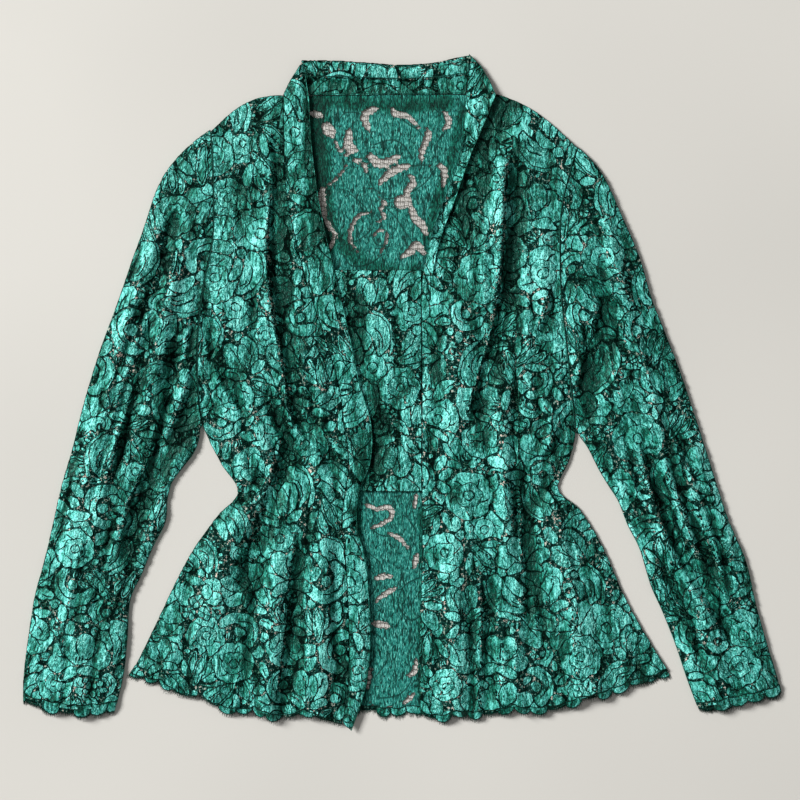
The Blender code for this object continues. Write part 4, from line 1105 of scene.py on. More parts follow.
def packLace(outline, placed, seed, grain=0.0):
    # sets motifs on a raster of the panel: 0 is free, -1 open net, -2 a line between leaves, above 0 silk
    rng = np.random.RandomState(seed)
    cell = packing["cell"]
    low = outline.min(0) - 8.0
    size = ((outline.max(0) + 8.0 - low) / cell).astype(int) + 1
    cellX, cellY = np.arange(size[0]) * cell + low[0], np.arange(size[1]) * cell + low[1]
    onRaster = lambda across, along, shift: softNoise(cellX[:, None] / across, cellY[None, :] / along, seed + shift)
    swayX, swayY = onRaster(7.0, 9.0, 5) - 0.5, onRaster(8.0, 7.0, 6) - 0.5
    quiverX, quiverY = onRaster(2.3, 2.9, 8) - 0.5, onRaster(2.6, 2.4, 9) - 0.5
    roughX = cellX[:, None] + 2.0 * packing["warp"] * swayX + packing["quiver"] * quiverX
    roughY = cellY[None, :] + 2.0 * packing["warp"] * swayY + packing["quiver"] * quiverY
    spread = onRaster(24.0, 30.0, 7)
    label = np.zeros(size, int)
    count = 0

    def cellsOf(points):
        return rasterCells(points, low, cell, size)

    def paint(group, gap):
        nonlocal count
        middle = np.array([group[0].x, group[0].y])
        reach = max(one.length / 2.0 + one.width / 2.0 + np.hypot(one.x - middle[0], one.y - middle[1])
                    for one in group)
        i0, j0 = cellsOf(middle - reach - 4.0)
        i1, j1 = cellsOf(middle + reach + 4.0)
        area = (slice(i0, i1 + 1), slice(j0, j1 + 1))
        x, y = roughX[area], roughY[area]
        local = np.zeros(x.shape, int)
        edge = np.full(x.shape, -9.0)
        for one in group:
            depth = leafDepth(one, x, y)
            if one.mode == "stroke":
                local[(depth > 0.0) & (edge > 0.3)] = -2
                continue
            edge = np.maximum(edge, depth)
            if one.mode == "join":
                local[(depth > -packing["line"]) & (local != count)] = -2
            else:
                local[depth > -packing["line"]] = -2
                count += 1
            local[depth > 0.0] = count
            if one.veins > 0:
                local[(depth > 1.2) & leafVein(one, x, y)] = -2
            elif one.veins < 0:
                local[(depth > 1.7) & (depth < 2.25)] = -2
        local[(local == 0) & (edge > -gap * (0.35 + 1.5 * spread[area]))] = -1
        free = label[area] == 0
        label[area] = np.where(free, local, label[area])

    for kind, x, y, turn, scale in placed:
        paint(setMotif(kind, x, y, radians(turn), scale, mirror=bool(count % 2)), 1.7)
    within = insideRows(outline, cellX, cellY)
    for stage in packing["stages"]:
        for _ in range(2):
            room = clearance(label != 0, int(stage["room"] / cell) + 3) * cell
            spots = np.argwhere((room > stage["room"]) & within)
            rng.shuffle(spots)
            for i, j in spots[: stage["tries"]]:
                if label[i, j]:
                    continue
                kind = stage["kinds"][rng.randint(len(stage["kinds"]))]
                turn = grain + rng.uniform(-1.1, 1.1) + pi * (rng.rand() < 0.3)
                group = setMotif(kind, cellX[i], cellY[j], turn, rng.uniform(*stage["sizes"]), rng.rand() < 0.5)
                line, side, half = leafLine(group, np.linspace(0.06, 0.94, 7))
                reach = half[..., None] * side * 0.9
                wanted = label[cellsOf(np.concatenate([line, line + reach, line - reach]))]
                if (wanted == 0).mean() > stage["share"]:
                    paint(group, stage["gap"])
    label[~within] = 0
    label[label < 0] = 0
    return dict(label=label, low=low, cell=cell, tones=rng.rand(count + 1))


def leafLine(leaves, places):        # centre lines, side directions and half widths, one row a leaf
    numbers = np.array([one[:8] for one in leaves])
    x, y, angle, length, width, bend, fullness, skew = (numbers[:, i : i + 1] for i in range(8))
    bend = np.where(abs(bend) < 1e-4, 1e-4, bend)
    t = np.asarray(places)[None, :]
    heading = angle + bend * (t - 0.5)
    px = x + length / bend * (np.sin(heading) - np.sin(angle))
    py = y - length / bend * (np.cos(heading) - np.cos(angle))
    half = width / 2.0 * np.sin(pi * t**skew).clip(0.0) ** fullness
    return np.stack([px, py], -1), np.stack([-np.sin(heading), np.cos(heading)], -1), half


def fieldLoops(label):        # the closed edges of each silk field, as corners of the raster, field on the left
    wide, tall = label.shape
    padded = np.pad(label, 1)
    here = padded[1:-1, 1:-1]
    i, j = np.meshgrid(np.arange(wide), np.arange(tall), indexing="ij")
    name = lambda a, b: a * (tall + 1) + b
    edges = []
    for other, start, end in ((padded[2:, 1:-1], (1, 0), (1, 1)), (padded[:-2, 1:-1], (0, 1), (0, 0)),
                              (padded[1:-1, 2:], (1, 1), (0, 1)), (padded[1:-1, :-2], (0, 0), (1, 0))):
        found = (here > 0) & (other != here)
        a, b = i[found], j[found]
        edges.append(np.column_stack([here[found], name(a + start[0], b + start[1]), name(a + end[0], b + end[1])]))
    edges = np.vstack(edges).astype(np.int64)
    span = (wide + 1) * (tall + 1) + 7
    starts = edges[:, 0] * span + edges[:, 1]
    order = np.argsort(starts, kind="stable")
    edges, starts = edges[order], starts[order]
    following = np.searchsorted(starts, edges[:, 0] * span + edges[:, 2]).tolist()
    same = np.append(starts[1:] == starts[:-1], False).tolist()
    used = [False] * len(edges)
    corners, owners = edges[:, 1].tolist(), edges[:, 0].tolist()
    loops = {}
    for first in range(len(edges)):
        if used[first]:
            continue
        path, place = [], first
        while not used[place]:
            used[place] = True
            path.append(corners[place])
            place = following[place]
            if used[place] and same[place]:
                place += 1
        path = np.array(path)
        loop = np.column_stack([path // (tall + 1), path % (tall + 1)]).astype(float)
        loops.setdefault(owners[first], []).append(loop)
    return loops


lace = dict(cord=0.30, cordHeight=0.45, innerHeight=0.32, rise=0.06, below=-0.25, spacing=1.3, inside=3.2,
            smallest=5.0, smallestHole=1.2, shortest=14)


def smoothLoop(loop):        # a raster edge made smooth and read again at an even spacing
    for _ in range(3):
        loop = (np.roll(loop, 1, 0) + loop * 2.0 + np.roll(loop, -1, 0)) / 4.0
    for _ in range(2):
        loop = sum(np.roll(loop, shift, 0) for shift in (-1, 0, 1)) / 3
    x, y = loop.T
    area = (x * np.roll(y, -1) - y * np.roll(x, -1)).sum() / 2.0
    closed = np.vstack([loop, loop[:1]])
    run = np.concatenate([[0.0], np.cumsum(np.hypot(*np.diff(closed, axis=0).T))])
    count = int(max(8, round(run[-1] / min(lace["spacing"], max(1.0, run[-1] / 16.0)))))
    wanted = np.linspace(0.0, run[-1], count, endpoint=False)
    return np.stack([np.interp(wanted, run, closed[:, axis]) for axis in range(2)], -1), area


def fieldPieces(packed):        # cord rings and silk faces in plan, with heights over the cloth
    label, low, cell = packed["label"], packed["low"], packed["cell"]
    room = clearance(label == 0, 12) * cell
    step = lace["inside"] / cell
    rows = np.arange(2.0, label.shape[0] - 2.0, step)
    gridI, gridJ = np.meshgrid(rows, np.arange(2.0, label.shape[1] - 2.0, step * 0.87), indexing="ij")
    gridI = gridI + (np.arange(gridI.shape[1]) % 2)[None, :] * step / 2.0
    cells = np.column_stack([gridI.ravel(), gridJ.ravel()]).astype(int)
    cells = cells[(cells[:, 0] < label.shape[0]) & (cells[:, 1] < label.shape[1])]
    cells = cells[(label[cells[:, 0], cells[:, 1]] > 0) & (room[cells[:, 0], cells[:, 1]] > lace["cord"] + 1.5)]
    owners = label[cells[:, 0], cells[:, 1]]
    order = np.argsort(owners, kind="stable")
    cells, owners = cells[order], owners[order]
    insideOf = lambda one: cells[np.searchsorted(owners, one) : np.searchsorted(owners, one + 1)]
    plans, heights, quads, tris, tones = [], [], [], [], []
    start = 0
    for owner, loops in fieldLoops(label).items():
        rings = []
        for loop in loops:
            if len(loop) < lace["shortest"]:
                continue
            line, area = smoothLoop(loop * cell + low - cell / 2.0)
            if area > lace["smallest"] or area < -lace["smallestHole"]:
                rings.append(line)
        if not rings:
            continue
        inner = []
        for line in rings:
            count = len(line)
            along = np.roll(line, -1, 0) - np.roll(line, 1, 0)
            along /= np.maximum(np.hypot(*along.T), 1e-6)[:, None]
            outward = np.column_stack([along[:, 1], -along[:, 0]])
            plans.append(np.vstack([line + outward * 0.26, line, line - outward * lace["cord"]]))
            heights.append(np.repeat([lace["below"], lace["cordHeight"], lace["innerHeight"]], count))
            ring = np.arange(count)
            after = (ring + 1) % count
            for band in (start, start + count):
                quads.append(np.stack([ring, after, after + count, ring + count], -1) + band)
            start += 3 * count
            inner.append(line - outward * (lace["cord"] - 0.04))
        points = np.vstack(inner + [insideOf(owner) * cell + low])
        edges, begin = [], 0
        for line in inner:
            edges += [(begin + place, begin + (place + 1) % len(line)) for place in range(len(line))]
            begin += len(line)
        found, _, faces, *_ = delaunay_2d_cdt([Vector(point) for point in points], edges, [], 0, 1e-4)
        found = np.array(found)
        faces = np.array([face for face in faces if len(face) == 3])
        if not len(faces):
            continue
        middle = found[faces].mean(1)
        kept = np.ones(len(faces), bool)
        for corner in range(3):
            side = 0.55 * middle + 0.45 * (found[faces[:, corner]] + found[faces[:, corner - 1]]) / 2.0
            kept &= label[rasterCells(side, low, cell, label.shape)] == owner
        plans.append(found)
        depth = room[rasterCells(found, low, cell, label.shape)]
        heights.append(lace["innerHeight"] + lace["rise"] * (depth - lace["cord"] - 0.5).clip(0.0, 3.0))
        tris.append(faces[kept] + start)
        start += len(found)
        tones.append(np.full(sum(3 * len(line) for line in rings) + len(found), packed["tones"][owner]))
    return np.vstack(plans), np.concatenate(heights), np.vstack(quads), np.vstack(tris), np.concatenate(tones)


def landOn(ground, plan, heights, lift):        # the points laid on the cloth below them
    down = Vector((0.0, 0.0, -1.0))
    hits = [ground.ray_cast(Vector((x, y, 60.0)), down)[0] or ground.find_nearest(Vector((x, y, 6.0)))[0]
            for x, y in plan]
    return np.array([hit.z for hit in hits]) + lift + heights


def layLace(name, ground, packed, lift, shadeOf, placeOf=None):        # one joined mesh of lace on a cloth
    plan, heights, quads, tris, tone = fieldPieces(packed)
    points = np.column_stack([plan, landOn(ground, plan, heights, lift)])
    faces = [faceUp(points, quads), faceUp(points, tris)]
    finish = np.repeat([1, 0], [len(quads), len(tris)])
    place = placeOf(points) if placeOf else None
    return makePiece(name, points, faces, ("silk", "cord"), finish, place, dict(tone=tone, paintedShade=shadeOf(points)))


rightFrontPanel = dict(
    table=rightFront, folds=rightFrontFolds, creases=rightFrontCreases, troughs=rightFrontTroughs,
    hem=rightHem, lapLevel=overlapLevel, shoulder=rightShoulder, seed=11,
    placed=(("lotus", -112, -178, 8, 1.05), ("rose", -168, -268, 0, 0.9), ("lotus", -242, -262, 12, 0.8),
            ("tulip", -92, -296, -6, 0.95), ("paisley", -150, 118, -18, 1.05), ("rose", -174, 196, 20, 0.85),
            ("scroll", -110, 70, 30, 0.9), ("posy", -204, -214, 0, 1.0), ("tulip", -158, 34, 22, 0.95),
            ("posy", -120, -58, 0, 0.9), ("eyelet", -150, -100, 0, 0.9), ("paisley", -196, -160, 30, 0.85)))
leftFrontPanel = dict(
    table=leftFront, folds=leftFrontFolds, creases=leftFrontCreases, troughs=leftFrontTroughs,
    hem=leftHem, lapLevel=panelLevel, shoulder=leftShoulder, seed=12,
    placed=(("rose", 178, -262, 0, 0.95), ("lotus", 98, -262, -6, 1.0), ("rose", 44, -290, 0, 0.7),
            ("tulip", 230, -252, -20, 0.85), ("eyelet", 140, 92, 0, 1.1), ("eyelet", 140, -80, 0, 1.1),
            ("lotus", 120, -160, 10, 0.95), ("paisley", 70, 30, 160, 0.95), ("rose", 108, 140, 0, 0.8),
            ("tulip", 60, -210, 0, 0.9), ("posy", 110, -28, 0, 1.0), ("paisley", 190, -190, 20, 0.9)))
fronts = dict(right=rightFrontPanel, left=leftFrontPanel)
fineRows = np.linspace(0.0, borderRow, 148)
panels = {}


def addLace(name, shell, node, placed, seed, shadeOf, grain=0.0):        # lace on a cloth that stands for its node
    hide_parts(node)
    leaves = packLace(shell["outline"], placed, seed, grain)
    shell["lace"] = layLace(name + "Lace", shell["ground"], leaves, shell["lift"], shadeOf)
    panels[name] = shell


for sideName, panel in fronts.items():
    grid = frontGrid(panel, fineRows, np.linspace(0.0, 1.0, 85))
    shadeOf = lambda points: ridgeShade(points, panel)
    shell = clothShell(sideName + "FrontCloth", grid, extra=dict(paintedShade=shadeOf(grid.reshape(-1, 3))))
    addLace(sideName + "Front", shell, "front_" + sideName, panel["placed"], panel["seed"], shadeOf)
    print(sideName, "front lace:", len(shell["lace"].data.polygons), "faces")

centreFolds = dict(folds=(), creases=(), troughs=centreTroughs)
centreShade = lambda points: 1.2 * ridgeShade(points, centreFolds)
centreMotifs = (("tulip", -8, -60, 170, 1.0), ("paisley", -22, 60, 20, 1.0), ("rose", -2, 6, 0, 0.9),
                ("tulip", -30, 96, 0, 0.9))
grid = centreGrid(np.linspace(0.0, 1.0, 80), np.linspace(0.0, 1.0, 48))
centre = clothShell("centreCloth", grid, extra=dict(paintedShade=centreShade(grid.reshape(-1, 3))))
addLace("centre", centre, "centre_panel", centreMotifs, 13, centreShade)

# The back: a finer grid where the neck and waist openings show its inside
openSpan = (0.24, 0.76)
backAcross = np.concatenate([np.linspace(0.0, openSpan[0], 24, endpoint=False),
                             np.linspace(openSpan[0], openSpan[1], 96, endpoint=False),
                             np.linspace(openSpan[1], 1.0, 25)])
netWindow = namedtuple("netWindow", "width points")
netWindows = tableOf(
    netWindow,
    (6.0, ((-91, 281), (-80, 278))), (10.0, ((-77, 268), (-70, 260))),
    (4.0, ((-67.5, 253), (-63, 244), (-52, 236))), (5.0, ((-51.5, 236), (-38, 229), (-36, 222))),
    (8.0, ((-52.6, 263.5), (-53.7, 249.7), (-47, 243))), (2.4, ((-49, 243.5), (-33, 239))),
    (8.0, ((-33, 239), (-21.6, 230), (-3.3, 237.6))), (7.0, ((-25, 286), (-37.7, 278), (-33, 263.5))),
    (5.5, ((-10, 286), (-6.7, 279.5), (4.8, 278), (17.4, 265.8))),
    (6.0, ((23, 264.6), (26.6, 259), (19.7, 242.8), (19.7, 233.6))),
    (5.5, ((41.5, 283), (47.2, 271.5), (40.4, 263.5))), (7.0, ((-22.8, 210.7), (-10.2, 222), (7, 228.5))),
    (2.2, ((5, 228.5), (24.3, 225.6), (30, 230))), (6.0, ((35.8, 231), (42.6, 222), (40.4, 207))),
    (6.0, ((7, 218.7), (11.7, 210.7), (4.8, 202.6), (8.2, 192))), (12.0, ((-4, 192), (4, 192))),
    (7.5, ((8.2, 187.7), (12.8, 176), (19.7, 169), (24.3, 160))),
    (4.0, ((-24, 196), (-17, 191), (-21.6, 184), (-17, 177), (-26, 172))),
    (4.0, ((-28.5, 183), (-44.6, 177), (-52.6, 156), (-42, 139.5))),
    (3.5, ((-28.5, 157), (-22.8, 163.6), (-14.7, 157), (-22.8, 138))),
    (7.0, ((-1, 137), (8, 142), (14, 149), (23, 139.5))), (3.0, ((-54, 231), (-65, 216), (-80, 205))),
    (7.0, ((-80, 205), (-80, 190), (-78, 178))), (4.5, ((-78, 178), (-72, 166), (-64, 157))),
    (4.0, ((-68.7, 155), (-72, 143))), (2.0, ((-36.6, 208), (-24, 201.5))),
    (5.0, ((-37, -110), (-24, -115), (-13, -113), (-11, -124), (-30, -134))),
    (4.5, ((-14, -139), (-3, -144), (7, -155))), (4.0, ((14, -100), (12, -115))),
    (5.5, ((15, -160), (12, -174))), (5.5, ((-28, -186), (-19, -182), (-10, -182))),
    (5.0, ((-27, -208), (-17, -200), (-4, -193))), (6.5, ((-29, -229), (-13, -232))),
    (5.0, ((14, -265), (12, -278), (5, -282))), (4.0, ((-31, -273), (-34, -295))),
    (5.0, ((12, -300), (2, -309))), (3.5, ((-33, -308), (-22, -316), (-10, -312))))


# The outlines of the big scrolls and leaves that show on the back's inside
scrollLines = (
    ((-66, 274), (-68, 262), (-64, 248), (-50, 238), (-38, 231), (-33, 219), (-28, 205), (-16, 200)),
    ((-64, 272), (-57, 281), (-42, 280), (-36, 272)),
    ((-33, 241), (-21, 233), (-6, 228), (13, 228), (28, 229)),
    ((-28, 249), (-11, 254), (1, 249), (9, 238)),
    ((-54, 226), (-69, 210), (-74, 190), (-69, 171), (-62, 159)),
    ((-23, 202), (-16, 195), (3, 199), (22, 210), (32, 224)),
    ((-16, 186), (-6, 176), (3, 162), (18, 141)),
    ((-48, 166), (-42, 178), (-28, 181), (-20, 169), (-29, 159), (-26, 150), (-14, 147)),
    ((-9, 286), (3, 272), (18, 262), (23, 248), (19, 231)),
    ((42, 284), (45, 265), (33, 248), (37, 231), (48, 214)),
    ((-58, 138), (-50, 128), (-33, 130), (-20, 139)),
    ((-52, 200), (-40, 190), (-30, 176), (-33, 162), (-47, 152)),
    ((-36, -104), (-28, -118), (-30, -134), (-18, -142), (-4, -140)),
    ((10, -102), (4, -120), (14, -138), (8, -158)),
    ((-32, -160), (-20, -172), (-24, -190), (-34, -204)),
    ((16, -184), (2, -192), (-4, -210), (8, -226), (18, -222)),
    ((-34, -236), (-18, -246), (-14, -264), (-26, -282)),
    ((14, -246), (6, -262), (10, -284), (-2, -300), (-20, -304)),
)


def scrollDistance(points):        # metres to the nearest outline, with a sign for its side
    best = np.full(len(points), 50.0)
    for line in scrollLines:
        gap = pathDistance(line, points[:, 0], points[:, 1])[0]
        best = np.where(abs(gap) < abs(best), gap, best)
    return best * mm


def windowDistance(points):        # metres outside (below 0) or inside (above 0) the open net
    best = np.full(len(points), -0.02)
    for one in netWindows:
        line = curveLine(one.points, 6)
        reach = one.width * 0.64 * np.sin(pi * np.linspace(0.12, 0.88, len(line))) ** 0.6
        for a, b, ra, rb in zip(line, line[1:], reach, reach[1:]):
            run = b - a
            share = np.clip(((points - a) @ run) / (run @ run), 0.0, 1.0)
            gap = (ra + (rb - ra) * share) - np.hypot(*(points - (a + run * share[:, None])).T)
            best = np.maximum(best, gap * mm)
    return best


grid = backGrid(fronts["right"], fronts["left"], np.linspace(0.0, borderRow, 190), backAcross)
flatX, flatY = grid[..., 0], grid[..., 1]
neckOpen = softStep((flatY - 120.0) / 20.0) * softStep((flatX + 96.0) / 10.0) * softStep((62.0 - flatX) / 10.0)
waistOpen = softStep((-98.0 - flatY) / 6.0) * softStep((flatX + 44.0) / 8.0) * softStep((20.0 - flatX) / 6.0)
grid[..., 2] += neckOpen * (crinkleHeight(flatX, flatY, 61) + 0.45) + waistOpen * (
    0.35 * crinkleHeight(flatX, flatY, 62) + 0.2)
# Painted shadows on the back's inside: beside both front bands, under the collar, across the bottom of the neck
# opening and down both sides of the waist opening
backShades = (trough(17, 6.6, ((-88, 350), (-82, 264), (-79, 194), (-68, 134))),
              trough(12, 4.6, ((-96, 297), (-60, 294), (0, 290), (64, 296))),
              trough(13, 4.2, ((-70, 168), (-52, 146), (-30, 128), (0, 120), (30, 124))),
              trough(9, 3.6, ((64, 300), (52, 236), (36, 190), (22, 140))),
              trough(8, 4.4, ((-46, -92), (-42, -180), (-38, -330))), trough(7, 3.4, ((22, -96), (22, -320))))
shadow = troughShape(backShades, flatX, flatY)[0].ravel() / 6.0
backPoints = grid.reshape(-1, 3)
back = clothShell("backCloth", grid, materials=("inside", "below"), thickness=0.5, extra=dict(
    netWindow=windowDistance(backPoints[:, :2]), scrollLine=scrollDistance(backPoints),
    paintedShade=0.62 * (1.0 - shadow).clip(0.0)))
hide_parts("back_panel")
panels["back"] = back
print("back and centre are laid")

# Collar and front bands
collarGrid = standGrid(backGrid(fronts["right"], fronts["left"], np.array([0.0, 1.0]), backAcross)[0],
                       np.linspace(0.0, 1.0, 34), np.linspace(0.0, 1.0, 84))


def collarShade(points):        # painted light and shade: a bright folded lip over a shaded stand, with painted shade dark in the wearer's right corner
    seamY = np.interp(points[:, 0], collarGrid[0, :, 0], collarGrid[0, :, 1])
    topY = np.interp(points[:, 0], collarGrid[-1, :, 0], collarGrid[-1, :, 1])
    share = (points[:, 1] - seamY) / (topY - seamY)
    lip = 0.26 + 0.54 * softStep((share - 0.44) / 0.10)
    corner = 0.12 + 0.88 * softStep((points[:, 0] + 95.0) / 24.0)
    return lip * corner * (1.0 - 0.3 * softStep((points[:, 0] - 34.0) / 26.0))


collar = clothShell("collarCloth", collarGrid, extra=dict(paintedShade=collarShade(collarGrid.reshape(-1, 3))))
addLace("collar", collar, "neck_band", (), 14, collarShade, grain=pi / 2)


def bandShade(points):        # painted shade: long soft streaks of light and shade down the bands, darker in the right front's troughs and with a painted shadow along the right band's inner edge near the top; it also lifts the right band's cloth
    run = (points[:, 0] + 0.18 * abs(points[:, 1] + 60.0)) / 6.5
    sunk = troughShape(rightFrontTroughs, points[:, 0], points[:, 1])[0]
    inner = pathDistance(((-93, 336), (-90, 260), (-84, 200), (-70, 130)), points[:, 0], points[:, 1])[0]
    shaded = (1.0 - softStep((abs(inner) - 5.0) / 6.0)) * softStep((points[:, 1] - 120.0) / 60.0)
    streak = (0.14 + 1.0 * softNoise(run, points[:, 1] / 55.0, 71)) * (1.0 - 0.8 * sunk / 6.0)
    return (streak * (1.0 - 0.9 * shaded)).clip(0.0, 1.0)


grid = rightBandGrid(fronts["right"], fineRows, np.linspace(0.0, 1.0, 12))
grid[..., 2] += 1.1 * bandShade(grid.reshape(-1, 3)).reshape(grid.shape[:2])
rightBandEdge = grid[:, -1].copy()
rightBand = clothShell("rightBandCloth", grid, extra=dict(paintedShade=bandShade(grid.reshape(-1, 3))))
addLace("rightBand", rightBand, "front_band_right", (), 15, bandShade)

grid = leftBandGrid(fronts["left"], np.linspace(0.0, 6.0, 50), np.linspace(0.0, 1.0, 10))
leftBandEdge = grid[:, -1].copy()
leftBand = clothShell("leftBandCloth", grid)
addLace("leftBand", leftBand, "front_band_left", (), 16, lambda points: 0.35 + 0.6 * bandShade(points))
print("collar and bands are laid")

# Sleeves: flattened tubes set into the armholes
rightSleevePanel = dict(
    table=rightSleeve, folds=rightSleeveFolds, creases=rightSleeveCreases, troughs=rightSleeveTroughs,
    side=-1.0, belly=rightCuffBelly, front="right", seed=17, grain=-0.26,
    placed=(("lotus", -322, -262, 4, 1.1), ("berries", -306, -292, 0, 0.9), ("rose", -346, -288, 0, 0.8),
            ("tulip", -300, -296, 0, 0.8), ("paisley", -256, 130, -20, 1.0), ("rose", -226, 178, 0, 0.9),
            ("tulip", -244, 60, -16, 1.0),
            ("paisley", -302, -60, -20, 1.0), ("scroll", -270, -130, -10, 0.9)))
leftSleevePanel = dict(
    table=leftSleeve, folds=leftSleeveFolds, creases=leftSleeveCreases, troughs=leftSleeveTroughs,
    side=1.0, belly=leftCuffBelly, front="left", seed=18, grain=0.26,
    placed=(("eyelet", 314, -246, 0, 1.1), ("rose", 336, -272, 0, 0.9), ("lotus", 302, -272, -12, 0.75),
            ("rose", 200, 136, 0, 0.95), ("eyelet", 188, 158, 0, 1.0), ("tulip", 258, 10, 18, 1.0),
            ("paisley", 262, -86, 14, 1.0), ("lotus", 300, -130, 18, 0.8)))
sleeves = dict(right=rightSleevePanel, left=leftSleevePanel)
underShares = np.linspace(0.0, 1.0, 14)
upperShares = np.linspace(0.0, 1.0, 50)
cuffRing = 0.988


def sleeveTube(name, panel):
    rings = sleeveGrid(panel, fronts[panel["front"]], np.linspace(0.0, cuffRing, 112), underShares, upperShares)
    rows, columns = rings.shape[:2]
    points = rings.reshape(-1, 3)
    quads = gridQuads(rows, columns, closed=True)
    upperStart = len(underShares) + 5
    place = quads[:, 0] % columns
    upperFaces = (place >= upperStart - 2) & (place < upperStart + len(upperShares) + 1)
    corners = points[quads[upperFaces]]
    if np.cross(corners[:, 1] - corners[:, 0], corners[:, 2] - corners[:, 1])[:, 2].sum() < 0.0:
        quads = quads[:, ::-1]
    down = Vector((panel["table"][-1].outerX - panel["table"][0].outerX,
                   panel["table"][-1].outerY - panel["table"][0].outerY)).normalized()
    placeOf = lambda spots: np.column_stack([spots[:, 1] * down.x - spots[:, 0] * down.y,
                                             -spots[:, 0] * down.x - spots[:, 1] * down.y, spots[:, 2]])
    shadeOf = lambda spots: ridgeShade(spots, panel)
    piece = makePiece(name + "Cloth", points, [quads], ("net", "under", "under"),
                      np.where(upperFaces, 0, 1), placeOf(points), dict(paintedShade=shadeOf(points)))
    thicken(piece, "clothWall", wall, 1)
    ground = BVHTree.FromPolygons([Vector(point) for point in points], quads.tolist())
    outerLine = rings[:, -3, :2]
    innerLine = rings[:, len(underShares) + 2, :2]
    upper = rings[:, upperStart : upperStart + len(upperShares), :2]
    outline = np.vstack([outerLine, upper[-1, ::-1], innerLine[::-1], upper[0]])
    leaves = packLace(outline, panel["placed"], panel["seed"], grain=panel["grain"])
    lacePiece = layLace(name + "Lace", ground, leaves, wall / 2, shadeOf, placeOf)
    print(name, "lace:", len(lacePiece.data.polygons), "faces")
    return dict(piece=piece, ground=ground, lift=wall / 2, lace=lacePiece)


for sideName, panel in sleeves.items():
    tube = sleeveTube(sideName + "Sleeve", panel)
    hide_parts("sleeve_" + sideName)
    panels[sideName + "Sleeve"] = tube

# Scalloped edges and their lashes
border = dict(scallop=17.0, notch=-2.4, depth=5.4, cord=0.5, bare=0.24, stations=8, wall=0.45, smoothing=6)
lash = dict(spacing=0.62, shortest=2.4, longest=5.6, thickness=0.26, clump=2.1)


def evenLine(points, spacing, closed=False):        # the line read again at an even spacing
    path = np.vstack([points, points[:1]]) if closed else points
    steps = np.concatenate([[0.0], np.cumsum(np.linalg.norm(np.diff(path[:, :2], axis=0), axis=1))])
    count = max(8, int(steps[-1] / spacing))
    wanted = np.linspace(0.0, steps[-1], count, endpoint=not closed)
    return np.stack([np.interp(wanted, steps, path[:, axis]) for axis in range(path.shape[1])], -1), wanted


def outward(hemLine, innerLine, closed):        # level directions out of the cloth, smoothed along the edge
    away = hemLine - innerLine
    away[:, 2] = 0.0
    away /= np.maximum(np.linalg.norm(away, axis=1), 1e-6)[:, None]
    for _ in range(border["smoothing"]):
        ends = away[[0, -1]].copy()
        away = (np.roll(away, 1, 0) + away + np.roll(away, -1, 0)) / 3.0
        if not closed:
            away[[0, -1]] = ends
    return away / np.linalg.norm(away, axis=1)[:, None]


def lashRow(name, rim, away, closed, rng):        # threads that stand from the edge, their tips in small clumps
    both, _ = evenLine(np.column_stack([rim, away]), lash["spacing"], closed)
    spots, outs = both[:, :3], both[:, 3:]
    count = len(spots)
    length = rng.uniform(lash["shortest"], lash["longest"], count)
    lean = rng.uniform(-0.9, 0.9, count)
    side = np.column_stack([-outs[:, 1], outs[:, 0], np.zeros(count)])
    lengthwise = np.arange(count) * lash["spacing"]
    pull = (np.floor(lengthwise / lash["clump"]) + 0.5) * lash["clump"] - lengthwise
    ahead = np.roll(spots, -1, 0) - spots
    ahead /= np.maximum(np.linalg.norm(ahead, axis=1), 1e-6)[:, None]
    pulled = np.sign((ahead * side).sum(1)) * pull * 0.8
    tip = spots + outs * length[:, None] + side * (pulled + lean * 0.9)[:, None]
    tip[:, 2] = rng.uniform(0.15, 0.9, count)
    middle = (spots + tip) / 2.0 + side * (rng.uniform(-0.5, 0.5, count))[:, None]
    middle[:, 2] = (spots[:, 2] + tip[:, 2]) / 2.0 + 0.3
    thick = lash["thickness"]
    up = np.array([0.0, 0.0, 1.0])
    shape = [(side, 0.0), (-side * 0.5, 0.87), (-side * 0.5, -0.87)]        # three-sided threads
    rings = [spots - outs * 0.8 + direction * thick + up * rise * thick for direction, rise in shape]
    rings += [middle + direction * thick * 0.8 + up * rise * thick * 0.8 for direction, rise in shape]
    points = np.stack(rings + [tip], 1)
    sides = np.array([[0, 1, 4, 3], [1, 2, 5, 4], [2, 0, 3, 5]])
    ends = np.array([[3, 4, 6], [4, 5, 6], [5, 3, 6], [0, 2, 1]])
    shift = (np.arange(count) * 7)[:, None, None]
    return makePiece(name, points.reshape(-1, 3), [(sides + shift).reshape(-1, 4), (ends + shift).reshape(-1, 3)],
                     ("thread",))


